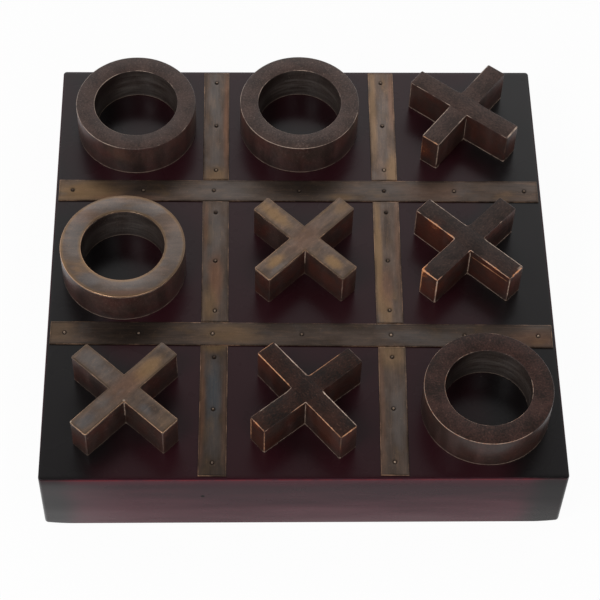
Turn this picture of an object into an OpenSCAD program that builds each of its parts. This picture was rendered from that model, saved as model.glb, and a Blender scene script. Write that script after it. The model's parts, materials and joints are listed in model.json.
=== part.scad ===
// A square wooden tic-tac-toe board with metal strips between its squares, and nine loose pieces.
// The board is a shallow box: a top panel on four mitred rails, with a screwed base panel.
// Origin: centre of the board, on the plane it stands on. X runs left to right, Y front to back, Z up.

/* [Board] */
// Length of each side of the board
board_side = 355.6; // [350:0.1:420]
// Height of the wooden box, without its felt pads
box_h = 62; // [50:0.5:90]
// Radius of the four upright corners
corner_r = 2.5; // [2:0.5:10]
// Rounding of the long edges round the playing face
edge_r = 1; // [0.5:0.25:1.5]
// Thickness of the top panel
top_t = 15; // [13:0.5:20]
// Thickness of the four rails
rail_t = 18; // [15:0.5:24]

/* [Inside and underneath] */
// Thickness of the base panel
base_t = 6; // [4:0.5:9]
// Width of the rebate that takes the base panel, from the rail's inner face
rebate_w = 10; // [8:0.5:12]
// Gap all round the base panel in its rebate
base_gap = 0.5; // [0.2:0.1:1]
// Side of the square glue blocks in the corners
block_side = 22; // [16:1:30]
// Thickness of the two inner ribs
rib_t = 18; // [12:1:24]
// Distance from a rib's middle to the pins in its ends
rib_pin_offset = 6; // [3:0.5:7]
// Distance from the top of a rib to the pins in its ends
rib_pin_drop = 8; // [5:0.5:14]
// Diameter of the rib pins
rib_pin_d = 1.8; // [1.4:0.1:2.2]
// Length of the rib pins
rib_pin_l = 35; // [30:1:45]
// Depth of a rib pin's head below the rail's face
rib_pin_sink = 1; // [0.5:0.25:2]
// Diameter of the base screws
screw_d = 3; // [2.5:0.1:3.5]
// Diameter of the base screws' countersunk heads
screw_head_d = 6; // [5:0.25:7]
// Length of the base screws
screw_l = 20; // [16:1:25]
// Distance from the middle of a side to its two base screws
screw_spread = 95; // [80:1:110]
// Diameter of the felt pads
pad_d = 22; // [16:1:30]
// Thickness of the felt pads
pad_t = 1.5; // [1:0.25:3]
// Distance from the board's sides to the middle of a felt pad
pad_inset = 26; // [25:1:40]

/* [Metal strips] */
// Width of the strips
strip_w = 19; // [16:0.5:22]
// Thickness of the strips
strip_t = 1; // [0.8:0.1:1.6]
// Distance from the strip ends to the rounded edge of the board
strip_inset = 1.2; // [0:0.1:2]
// Gap between a short strip and the long one it meets
strip_gap = 0.3; // [0.1:0.1:0.6]
// Diameter of the nail heads
nail_head_d = 2.8; // [2.2:0.1:3.4]
// Height of the nail heads
nail_head_h = 0.9; // [0.6:0.1:1.2]
// Diameter of the nail shanks
nail_d = 1.3; // [1:0.1:1.6]
// Length of a nail below its head
nail_l = 11; // [8:0.5:12]
// Distance from the end of a strip to its outer nail
nail_inset = 10; // [7:0.5:12]

/* [How the strips are laid] */
// Shift of the back and front row strips to the back
row_shift = [0.4, -0.5]; // [-1.5:0.1:1.5]
// Turn of the back and front row strips, in degrees
row_turn = [-0.25, -0.65]; // [-1:0.05:1]
// Shift of the left column strips to the right, from front to back
left_shift = [0.9, 1.5, 1.5]; // [-1.5:0.1:1.5]
// Turn of the left column strips, in degrees, from front to back
left_turn = [-0.5, 0, 0]; // [-1.2:0.05:1.2]
// Shift of the right column strips to the right, from front to back
right_shift = [-0.8, 0.3, 1.1]; // [-1.5:0.1:1.5]
// Turn of the right column strips, in degrees, from front to back
right_turn = [-1.1, -0.6, -0.45]; // [-1.2:0.05:1.2]

/* [Playing pieces] */
// Outer diameter of the rings
ring_d = 88; // [70:1:90]
// Diameter of the hole in the two back rings
ring_hole_d = 61; // [46:1:66]
// Diameter of the hole in the middle left and front right rings
small_hole_d = 59; // [46:1:66]
// Height of every playing piece
piece_h = 28.5; // [18:0.5:40]
// Length of the bars that make a cross
bar_l = 87; // [70:1:100]
// Width of the bars
bar_w = 15; // [10:0.5:18]
// Width of the eased edges of the pieces
ease = 0.8; // [0.4:0.1:1.2]
// Thickness of the metal sheet on three of the pieces
sheet_t = 1; // [0.6:0.1:1.6]
// Gap in the half lap of the two bars, on each side
lap_gap = 0.05; // [0:0.01:0.1]

/* [Where the pieces lie in their squares] */
// Shift of the back left ring
o_back_left_shift = [4.9, -1.2]; // [-6:0.1:6]
// Shift of the back centre ring
o_back_centre_shift = [0.9, -0.5]; // [-6:0.1:6]
// Shift of the middle left ring
o_middle_left_shift = [-0.7, -6]; // [-6:0.1:6]
// Shift of the front right ring
o_front_right_shift = [-0.4, 1]; // [-6:0.1:6]
// Shift of the back right cross
x_back_right_shift = [-2.2, -2.4]; // [-6:0.1:6]
// Turn of the back right cross, in degrees
x_back_right_turn = 7; // [-10:0.5:10]
// Shift of the centre cross
x_centre_shift = [2.6, 0.3]; // [-6:0.1:6]
// Turn of the centre cross, in degrees
x_centre_turn = 0.5; // [-10:0.5:10]
// Shift of the middle right cross
x_middle_right_shift = [-6, 0]; // [-6:0.1:6]
// Turn of the middle right cross, in degrees
x_middle_right_turn = 1.5; // [-10:0.5:10]
// Shift of the front left cross
x_front_left_shift = [4.1, 1.5]; // [-6:0.1:6]
// Turn of the front left cross, in degrees
x_front_left_turn = 1.5; // [-10:0.5:10]
// Shift of the front centre cross
x_front_centre_shift = [1.8, 0.2]; // [-6:0.1:6]
// Turn of the front centre cross, in degrees
x_front_centre_turn = -5.5; // [-10:0.5:10]

/* [Hidden] */
$fn = 64;

// One hundredth of a millimetre, by which a cut runs past the face it opens
past = 0.01;
// Side clearance of every screw, pin and nail in its hole
hole_gap = 0.05;
// Clearance beyond the point of a screw, pin or nail in a blind hole
point_gap = 0.5;
// Length of the point of a screw, pin or nail, as a share of its diameter
point_share = 1.2;
// Width, length and depth of the driving cross in a screw head, as shares of the head's diameter
slot_share = 0.16;
slot_length_share = 0.6;
slot_depth_share = 0.2;

// Heights of the faces that the pieces share
base_top = pad_t + base_t;
rail_top = pad_t + box_h - top_t;
face_z = pad_t + box_h;
inner_side = board_side - 2 * rail_t;
base_side = inner_side + 2 * rebate_w - 2 * base_gap;

// The squares and the lines between them
square = (board_side - 2 * strip_w) / 3;
pitch = square + strip_w;
line_at = pitch / 2;
side_reach = board_side / 2 - edge_r - strip_inset;
LEFT = -1;
RIGHT = 1;
FRONT = -1;
MIDDLE = 0;
BACK = 1;

WOOD = [0.17, 0.10, 0.11];
RAW_WOOD = [0.62, 0.47, 0.32];
METAL = [0.47, 0.38, 0.29];
NAIL = [0.28, 0.22, 0.18];
STEEL = [0.66, 0.66, 0.68];
FELT = [0.16, 0.16, 0.17];
DARK_PIECE = [0.27, 0.17, 0.14];

// Rounded shapes

// A square with round corners
module rounded_square(side, r) {
    for (a = [0, 90]) {
        rotate(a) square([side, side - 2 * r], center = true);
    }
    for (x = [-1, 1], y = [-1, 1]) {
        translate([x, y] * (side / 2 - r)) circle(r);
    }
}

// Right half of an upright section whose upper corner is rounded
module eased_half(w, h, r) {
    square([w - r, h]);
    square([w, h - r]);
    translate([w - r, h - r]) circle(r);
}

// A rectangle from x = a to x = b, whose low and high corners are cut at 45 degrees
module eased_outline(a, b, h, low_cut, high_cut) {
    polygon([
        [a + low_cut, 0], [b - low_cut, 0], [b, low_cut],
        [b, h - high_cut], [b - high_cut, h],
        [a + high_cut, h], [a, h - high_cut], [a, low_cut]
    ]);
}

// A pointed shank under a head, turned about Z, with its head's underside at z = 0
module pointed_shank(d, l, grow = 0) {
    point_l = d * point_share;
    rotate_extrude() {
        polygon([
            [0, past], [d / 2 + grow, past], [d / 2 + grow, -(l - point_l) - grow], [0, -l - grow]
        ]);
    }
}

// The box

// Everything inside the board's outer faces, from one height to another
module board_outline(z, h) {
    translate([0, 0, z]) linear_extrude(h) rounded_square(board_side, corner_r);
}

// The top panel with its long upper edges rounded over
module top_blank() {
    straight = board_side - 2 * corner_r;
    translate([0, 0, rail_top]) {
        for (a = [0, 90]) {
            rotate([90, 0, a]) linear_extrude(straight, center = true) {
                for (m = [0, 1]) {
                    mirror([m, 0]) eased_half(board_side / 2, top_t, edge_r);
                }
            }
        }
        for (x = [-1, 1], y = [-1, 1]) {
            translate([x, y] * (straight / 2)) rotate_extrude() eased_half(corner_r, top_t, edge_r);
        }
    }
}

module top_panel() {
    color(WOOD) difference() {
        top_blank();
        at_all_nails() nail_hole();
    }
}

// A rail on the front side, cut to a mitre at both ends
module rail() {
    outer = board_side / 2 + past;
    z0 = pad_t;
    h = rail_top - pad_t;
    difference() {
        board_outline(z0, h);
        translate([0, 0, z0 + h / 2]) cube([inner_side, inner_side, h + 2 * past], center = true);
        translate([0, 0, z0 + base_t / 2 - past]) {
            cube([inner_side + 2 * rebate_w, inner_side + 2 * rebate_w, base_t + 2 * past], center = true);
        }
        translate([0, 0, z0 - past]) linear_extrude(h + 2 * past) {
            polygon([[0, 0], [outer, -outer], [outer, outer], [-outer, outer], [-outer, -outer]]);
        }
    }
}

// A rail turned to its side, with the holes that its screws and pins need
module bored_rail(turn, pinned) {
    color(WOOD) difference() {
        rotate(turn) rail();
        screw_holes();
        if (pinned) rib_pin_holes();
    }
}

module front_rail() {
    bored_rail(0, true);
}

module right_rail() {
    bored_rail(90, false);
}

module back_rail() {
    bored_rail(180, true);
}

module left_rail() {
    bored_rail(270, false);
}

module base_panel() {
    color(RAW_WOOD) difference() {
        translate([0, 0, pad_t + base_t / 2]) cube([base_side, base_side, base_t], center = true);
        screw_holes();
    }
}

module corner_block(x, y) {
    h = rail_top - base_top;
    middle = inner_side / 2 - block_side / 2;
    color(RAW_WOOD) translate([x * middle, y * middle, base_top + h / 2]) {
        cube([block_side, block_side, h], center = true);
    }
}

module corner_block_front_left() {
    corner_block(LEFT, FRONT);
}

module corner_block_front_right() {
    corner_block(RIGHT, FRONT);
}

module corner_block_back_left() {
    corner_block(LEFT, BACK);
}

module corner_block_back_right() {
    corner_block(RIGHT, BACK);
}

module rib(side) {
    h = rail_top - base_top;
    color(RAW_WOOD) difference() {
        translate([side * line_at, 0, base_top + h / 2]) cube([rib_t, inner_side, h], center = true);
        rib_pin_holes();
    }
}

module rib_left() {
    rib(LEFT);
}

module rib_right() {
    rib(RIGHT);
}

// Fastenings of the box

// Puts its children at each pin through the front and back rails, with +Z pointing out of the rail
module at_rib_pins() {
    z = rail_top - rib_pin_drop;
    for (x = [-1, 1], y = [-1, 1]) {
        translate([x * (line_at + rib_pin_offset), y * (board_side / 2 - rib_pin_sink), z]) {
            rotate([-90 * y, 0, 0]) children();
        }
    }
}

module rib_pin_holes() {
    at_rib_pins() {
        pointed_shank(rib_pin_d, rib_pin_l + point_gap, hole_gap);
        cylinder(r = rib_pin_d / 2 + hole_gap, h = rib_pin_sink + past);
    }
}

module rib_pins() {
    color(STEEL) at_rib_pins() pointed_shank(rib_pin_d, rib_pin_l);
}

// Puts its children at each base screw, with +Z pointing down out of the base
module at_base_screws() {
    reach = inner_side / 2 + rebate_w / 2;
    for (turn = [0:90:270], x = [-1, 1]) {
        rotate(turn) translate([x * screw_spread, -reach, pad_t]) rotate([180, 0, 0]) children();
    }
}

// The countersunk head of a screw over its shank, with the head's face at z = 0
module screw_body(grow, l) {
    head_r = screw_head_d / 2;
    neck_r = screw_d / 2;
    head_h = head_r - neck_r;
    rotate_extrude() {
        polygon([
            [0, 0], [head_r + grow, 0], [neck_r + grow, -head_h],
            [neck_r + grow, -(l - screw_d * point_share)], [0, -l]
        ]);
    }
}

module screw_holes() {
    at_base_screws() {
        screw_body(hole_gap, screw_l + point_gap);
        cylinder(r = screw_head_d / 2 + hole_gap, h = past);
    }
}

module base_screws() {
    slot_w = screw_head_d * slot_share;
    slot_l = screw_head_d * slot_length_share;
    slot_depth = screw_head_d * slot_depth_share;
    color(STEEL) at_base_screws() difference() {
        screw_body(0, screw_l);
        for (a = [0, 90]) {
            rotate(a) cube([slot_l, slot_w, 2 * slot_depth], center = true);
        }
    }
}

module felt_pads() {
    at = board_side / 2 - pad_inset;
    color(FELT) for (x = [-1, 1], y = [-1, 1]) {
        translate([x * at, y * at, 0]) cylinder(d = pad_d, h = pad_t);
    }
}

// Metal strips

// Puts its children in the frame of a row strip, with X along the strip
module row_frame(side) {
    i = side == BACK ? 0 : 1;
    translate([0, side * line_at + row_shift[i], face_z]) rotate(row_turn[i]) children();
}

// Puts its children in the frame of a column strip, with X along the strip
module column_frame(side, row) {
    shift = side == LEFT ? left_shift : right_shift;
    turn = side == LEFT ? left_turn : right_turn;
    middle = (column_low(row) + column_high(row)) / 2;
    translate([side * line_at + shift[row + 1], middle, face_z]) rotate(90 + turn[row + 1]) children();
}

// Where a column strip ends: at the long strips, or short of the board's sides
function column_low(row) = row == FRONT ? -side_reach : row * pitch - square / 2;
function column_high(row) = row == BACK ? side_reach : row * pitch + square / 2;
function column_l(row) = column_high(row) - column_low(row);

// Distances of the nails from the middle of a strip
row_nail_end = side_reach - nail_inset;
row_nail_far = (row_nail_end + line_at) / 2;
row_nails = [-row_nail_end, -row_nail_far, -line_at, 0, line_at, row_nail_far, row_nail_end];
function column_nail_end(row) = column_l(row) / 2 - nail_inset;
function column_nails(row) = [-column_nail_end(row), 0, column_nail_end(row)];

// A long strip, or the room that it takes with a gap round it
module row_blank(side, gap = 0) {
    row_frame(side) translate([0, 0, strip_t / 2]) {
        cube([2 * side_reach, strip_w + 2 * gap, strip_t + 2 * gap], center = true);
    }
}

// A short strip before it is cut, which runs on to the middle of each long strip that it meets
module column_blank(side, row) {
    low = column_l(row) / 2 + (row == FRONT ? 0 : strip_w / 2);
    high = column_l(row) / 2 + (row == BACK ? 0 : strip_w / 2);
    column_frame(side, row) translate([-low, -strip_w / 2, 0]) cube([low + high, strip_w, strip_t]);
}

module row_strip(side) {
    color(METAL) difference() {
        row_blank(side);
        at_row_nails(side) nail_hole();
    }
}

// A short strip, cut off parallel to each long strip that it meets
module column_strip(side, row) {
    color(METAL) difference() {
        column_blank(side, row);
        row_blank(BACK, strip_gap);
        row_blank(FRONT, strip_gap);
        at_column_nails(side, row) nail_hole();
    }
}

module row_strip_back() {
    row_strip(BACK);
}

module row_strip_front() {
    row_strip(FRONT);
}

module column_strip_left_front() {
    column_strip(LEFT, FRONT);
}

module column_strip_left_middle() {
    column_strip(LEFT, MIDDLE);
}

module column_strip_left_back() {
    column_strip(LEFT, BACK);
}

module column_strip_right_front() {
    column_strip(RIGHT, FRONT);
}

module column_strip_right_middle() {
    column_strip(RIGHT, MIDDLE);
}

module column_strip_right_back() {
    column_strip(RIGHT, BACK);
}

// Nails of the strips

// Puts its children on a long strip's upper face, at each of its nails
module at_row_nails(side) {
    row_frame(side) for (x = row_nails) {
        translate([x, 0, strip_t]) children();
    }
}

// Puts its children on a short strip's upper face, at each of its nails
module at_column_nails(side, row) {
    column_frame(side, row) for (x = column_nails(row)) {
        translate([x, 0, strip_t]) children();
    }
}

module at_all_nails() {
    for (side = [BACK, FRONT]) {
        at_row_nails(side) children();
    }
    for (side = [LEFT, RIGHT], row = [FRONT, MIDDLE, BACK]) {
        at_column_nails(side, row) children();
    }
}

module nail_hole() {
    pointed_shank(nail_d, nail_l + point_gap, hole_gap);
}

// A round-headed nail whose head is a cap of a sphere
module nail() {
    head_r = nail_head_d / 2;
    cap_r = (head_r ^ 2 + nail_head_h ^ 2) / (2 * nail_head_h);
    pointed_shank(nail_d, nail_l);
    rotate_extrude() intersection() {
        translate([0, nail_head_h - cap_r]) circle(cap_r);
        square([head_r, nail_head_h]);
    }
}

module strip_nails() {
    color(NAIL) at_all_nails() nail();
}

// Playing pieces

// Puts its children on the face of a square, with X to the right
module in_square(column, row, shift, turn = 0) {
    translate([column * pitch + shift[0], row * pitch + shift[1], face_z]) rotate(turn) children();
}

// The wood of a ring, under a metal sheet or bare
module ring(hole_d, under_sheet = false) {
    h = under_sheet ? piece_h - sheet_t : piece_h;
    high_cut = under_sheet ? 0 : ease;
    color(DARK_PIECE) rotate_extrude() eased_outline(hole_d / 2, ring_d / 2, h, ease, high_cut);
}

module ring_sheet(hole_d) {
    color(METAL) translate([0, 0, piece_h - sheet_t]) linear_extrude(sheet_t) difference() {
        circle(d = ring_d);
        circle(d = hole_d);
    }
}

// A bar along X with all its edges eased, full in section where another one crosses it
module bar_blank(h, high_cut) {
    end = bar_l / 2;
    flank = bar_w / 2;
    intersection() {
        translate([0, -flank, 0]) linear_extrude(h) eased_outline(-end, end, bar_w, ease, ease);
        translate([0, flank, 0]) rotate([90, 0, 0]) linear_extrude(bar_w) {
            eased_outline(-end, end, h, ease, high_cut);
        }
        translate([-end, 0, 0]) rotate([90, 0, 90]) linear_extrude(bar_l) {
            eased_outline(-flank, flank, h, ease, high_cut);
        }
    }
    translate([0, 0, h / 2]) cube([bar_w, bar_w, h], center = true);
}

// Half of a cross: the lower bar is notched from above and the upper one from below
module cross_bar(is_lower, under_sheet) {
    h = under_sheet ? piece_h - sheet_t : piece_h;
    high_cut = under_sheet ? 0 : ease;
    notch_w = bar_w + 2 * lap_gap;
    notch_z = is_lower ? h / 2 : -past;
    color(DARK_PIECE) rotate(is_lower ? 45 : 135) difference() {
        bar_blank(h, high_cut);
        translate([-notch_w / 2, -bar_w, notch_z]) cube([notch_w, 2 * bar_w, h / 2 + past]);
    }
}

module lower_bar(under_sheet = false) {
    cross_bar(true, under_sheet);
}

module upper_bar(under_sheet = false) {
    cross_bar(false, under_sheet);
}

module cross_sheet() {
    color(METAL) translate([0, 0, piece_h - sheet_t]) linear_extrude(sheet_t) {
        for (a = [45, 135]) {
            rotate(a) square([bar_l, bar_w], center = true);
        }
    }
}

// Each playing piece's own place

module on_back_left() {
    in_square(LEFT, BACK, o_back_left_shift) children();
}

module on_back_centre() {
    in_square(MIDDLE, BACK, o_back_centre_shift) children();
}

module on_back_right() {
    in_square(RIGHT, BACK, x_back_right_shift, x_back_right_turn) children();
}

module on_middle_left() {
    in_square(LEFT, MIDDLE, o_middle_left_shift) children();
}

module on_centre() {
    in_square(MIDDLE, MIDDLE, x_centre_shift, x_centre_turn) children();
}

module on_middle_right() {
    in_square(RIGHT, MIDDLE, x_middle_right_shift, x_middle_right_turn) children();
}

module on_front_left() {
    in_square(LEFT, FRONT, x_front_left_shift, x_front_left_turn) children();
}

module on_front_centre() {
    in_square(MIDDLE, FRONT, x_front_centre_shift, x_front_centre_turn) children();
}

module on_front_right() {
    in_square(RIGHT, FRONT, o_front_right_shift) children();
}

module o_back_left_ring() {
    on_back_left() ring(ring_hole_d);
}

module o_back_centre_ring() {
    on_back_centre() ring(ring_hole_d);
}

module o_middle_left_ring() {
    on_middle_left() ring(small_hole_d, under_sheet = true);
}

module o_middle_left_sheet() {
    on_middle_left() ring_sheet(small_hole_d);
}

module o_front_right_ring() {
    on_front_right() ring(small_hole_d);
}

module x_back_right_lower_bar() {
    on_back_right() lower_bar();
}

module x_back_right_upper_bar() {
    on_back_right() upper_bar();
}

module x_centre_lower_bar() {
    on_centre() lower_bar(under_sheet = true);
}

module x_centre_upper_bar() {
    on_centre() upper_bar(under_sheet = true);
}

module x_centre_sheet() {
    on_centre() cross_sheet();
}

module x_middle_right_lower_bar() {
    on_middle_right() lower_bar();
}

module x_middle_right_upper_bar() {
    on_middle_right() upper_bar();
}

module x_front_left_lower_bar() {
    on_front_left() lower_bar(under_sheet = true);
}

module x_front_left_upper_bar() {
    on_front_left() upper_bar(under_sheet = true);
}

module x_front_left_sheet() {
    on_front_left() cross_sheet();
}

module x_front_centre_lower_bar() {
    on_front_centre() lower_bar();
}

module x_front_centre_upper_bar() {
    on_front_centre() upper_bar();
}

top_panel();
front_rail();
back_rail();
left_rail();
right_rail();
base_panel();
corner_block_front_left();
corner_block_front_right();
corner_block_back_left();
corner_block_back_right();
rib_left();
rib_right();
rib_pins();
base_screws();
felt_pads();
row_strip_back();
row_strip_front();
column_strip_left_front();
column_strip_left_middle();
column_strip_left_back();
column_strip_right_front();
column_strip_right_middle();
column_strip_right_back();
strip_nails();
o_back_left_ring();
o_back_centre_ring();
o_middle_left_ring();
o_middle_left_sheet();
o_front_right_ring();
x_back_right_lower_bar();
x_back_right_upper_bar();
x_centre_lower_bar();
x_centre_upper_bar();
x_centre_sheet();
x_middle_right_lower_bar();
x_middle_right_upper_bar();
x_front_left_lower_bar();
x_front_left_upper_bar();
x_front_left_sheet();
x_front_centre_lower_bar();
x_front_centre_upper_bar();
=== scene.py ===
"""A lacquered tic-tac-toe board with nailed metal strips, four rings and five crosses, in a plain studio."""

import json
import logging
import math
import random
from collections.abc import Callable, Sequence
from dataclasses import dataclass, field, replace
from enum import Enum

import bmesh
import bpy
import numpy as np
from mathutils import Matrix, Vector, noise


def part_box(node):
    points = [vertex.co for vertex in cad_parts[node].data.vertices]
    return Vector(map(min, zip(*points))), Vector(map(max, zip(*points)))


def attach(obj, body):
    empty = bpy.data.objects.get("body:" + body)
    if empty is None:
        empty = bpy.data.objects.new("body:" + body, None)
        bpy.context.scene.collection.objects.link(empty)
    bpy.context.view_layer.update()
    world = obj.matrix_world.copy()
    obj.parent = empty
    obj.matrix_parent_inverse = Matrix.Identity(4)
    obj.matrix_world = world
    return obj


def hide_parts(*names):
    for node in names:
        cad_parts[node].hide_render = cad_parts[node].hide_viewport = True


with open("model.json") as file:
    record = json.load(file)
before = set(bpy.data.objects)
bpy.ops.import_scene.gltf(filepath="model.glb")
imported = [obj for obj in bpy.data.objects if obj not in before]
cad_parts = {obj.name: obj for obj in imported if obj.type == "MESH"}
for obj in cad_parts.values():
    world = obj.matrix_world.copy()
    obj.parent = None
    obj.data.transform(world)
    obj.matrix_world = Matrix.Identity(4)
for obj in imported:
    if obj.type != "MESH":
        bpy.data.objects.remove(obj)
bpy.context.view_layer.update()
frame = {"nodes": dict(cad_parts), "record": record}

MM = 0.001
PLACE = "place"
BODY_OF = {node: body for body, nodes in frame["record"]["behaviour"]["bodies"].items() for node in nodes}
SLOT_OF = {part["node"]: part["material_slot"] for part in frame["record"]["subparts"]}

Colour = tuple[float, float, float, float]
Loop = list[Vector]

log = logging.getLogger("tic_tac_toe_board")


def shade(red: float, green: float, blue: float) -> Colour:
    """Gives a colour that is named as a screen shows it as the share of light that it reflects.

    Args:
        red, green, blue: the screen's levels, from 0 to 255.

    Returns:
        The linear colour, opaque.
    """
    shares = []
    for level in (red, green, blue):
        part = level / 255
        shares.append(part / 12.92 if part <= 0.04045 else ((part + 0.055) / 1.055) ** 2.4)
    return (*shares, 1.0)


def arc(radius: float, start: float, stop: float, steps: int) -> list[tuple[float, float]]:
    """Points on an arc round the origin, with both ends, between angles in degrees."""
    angles = [math.radians(start + (stop - start) * i / steps) for i in range(steps + 1)]
    return [(radius * math.cos(a), radius * math.sin(a)) for a in angles]


def waver(place: Vector, pitch: float, seed: float) -> float:
    """A smooth unevenness from -1 to 1, the seed's own, that swells and sinks about once in each pitch."""
    return noise.noise(place / pitch + Vector((seed, 1.7 * seed, 2.3 * seed)))


def spoke(step: int, steps: int) -> Vector:
    """The level direction of one of the equal steps of a full turn."""
    angle = 2 * math.pi * step / steps
    return Vector((math.cos(angle), math.sin(angle), 0))


def mixed(share: float, one: Colour, other: Colour) -> Colour:
    """One colour with a share of another in it."""
    return tuple(a + share * (b - a) for a, b in zip(one, other))


def each(kind: type, *rows: tuple) -> tuple:
    """One of a kind from each row of its fields."""
    return tuple(kind(*row) for row in rows)


class Value:
    """A node's output, wrapped so that shader maths is written as an expression."""

    def __init__(self, bench: "Bench", socket: bpy.types.NodeSocket | None) -> None:
        """Wraps one output socket of a node on the bench."""
        self.bench = bench
        self.socket = socket

    def _math(self, operation: str, *terms: "Value | float") -> "Value":
        """Adds one Math node for the operation on the terms."""
        return self.bench.node("ShaderNodeMath", {"operation": operation}, dict(enumerate(terms)))

    def __add__(self, other: "Value | float") -> "Value":
        """self + other"""
        return self._math("ADD", self, other)

    def __radd__(self, other: float) -> "Value":
        """other + self"""
        return self._math("ADD", other, self)

    def __sub__(self, other: "Value | float") -> "Value":
        """self - other"""
        return self._math("SUBTRACT", self, other)

    def __rsub__(self, other: float) -> "Value":
        """other - self"""
        return self._math("SUBTRACT", other, self)

    def __mul__(self, other: "Value | float") -> "Value":
        """self * other"""
        return self._math("MULTIPLY", self, other)

    def __rmul__(self, other: float) -> "Value":
        """other * self"""
        return self._math("MULTIPLY", other, self)

    def __truediv__(self, other: "Value | float") -> "Value":
        """self / other"""
        return self._math("DIVIDE", self, other)

    def __pow__(self, other: "Value | float") -> "Value":
        """self ** other"""
        return self._math("POWER", self, other)

    def __abs__(self) -> "Value":
        """The value without its sign."""
        return self._math("ABSOLUTE", self)

    def least(self, other: "Value | float") -> "Value":
        """The smaller of the two values."""
        return self._math("MINIMUM", self, other)

    def most(self, other: "Value | float") -> "Value":
        """The larger of the two values."""
        return self._math("MAXIMUM", self, other)

    def folded(self, pitch: float) -> "Value":
        """The value brought back to within half a pitch of 0."""
        return self._math("WRAP", self, pitch / 2, -pitch / 2)

    def rise(self, low: "Value | float", high: "Value | float") -> "Value":
        """Rises smoothly from 0 where the value is low to 1 where it is high."""
        sockets = {"Value": self, "From Min": low, "From Max": high}
        return self.bench.node("ShaderNodeMapRange", {"interpolation_type": "SMOOTHSTEP"}, sockets)

    def fall(self, low: "Value | float", high: "Value | float") -> "Value":
        """Falls smoothly from 1 where the value is low to 0 where it is high."""
        return 1.0 - self.rise(low, high)


Measure = Callable[[Value, Value, Value], Value]


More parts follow.
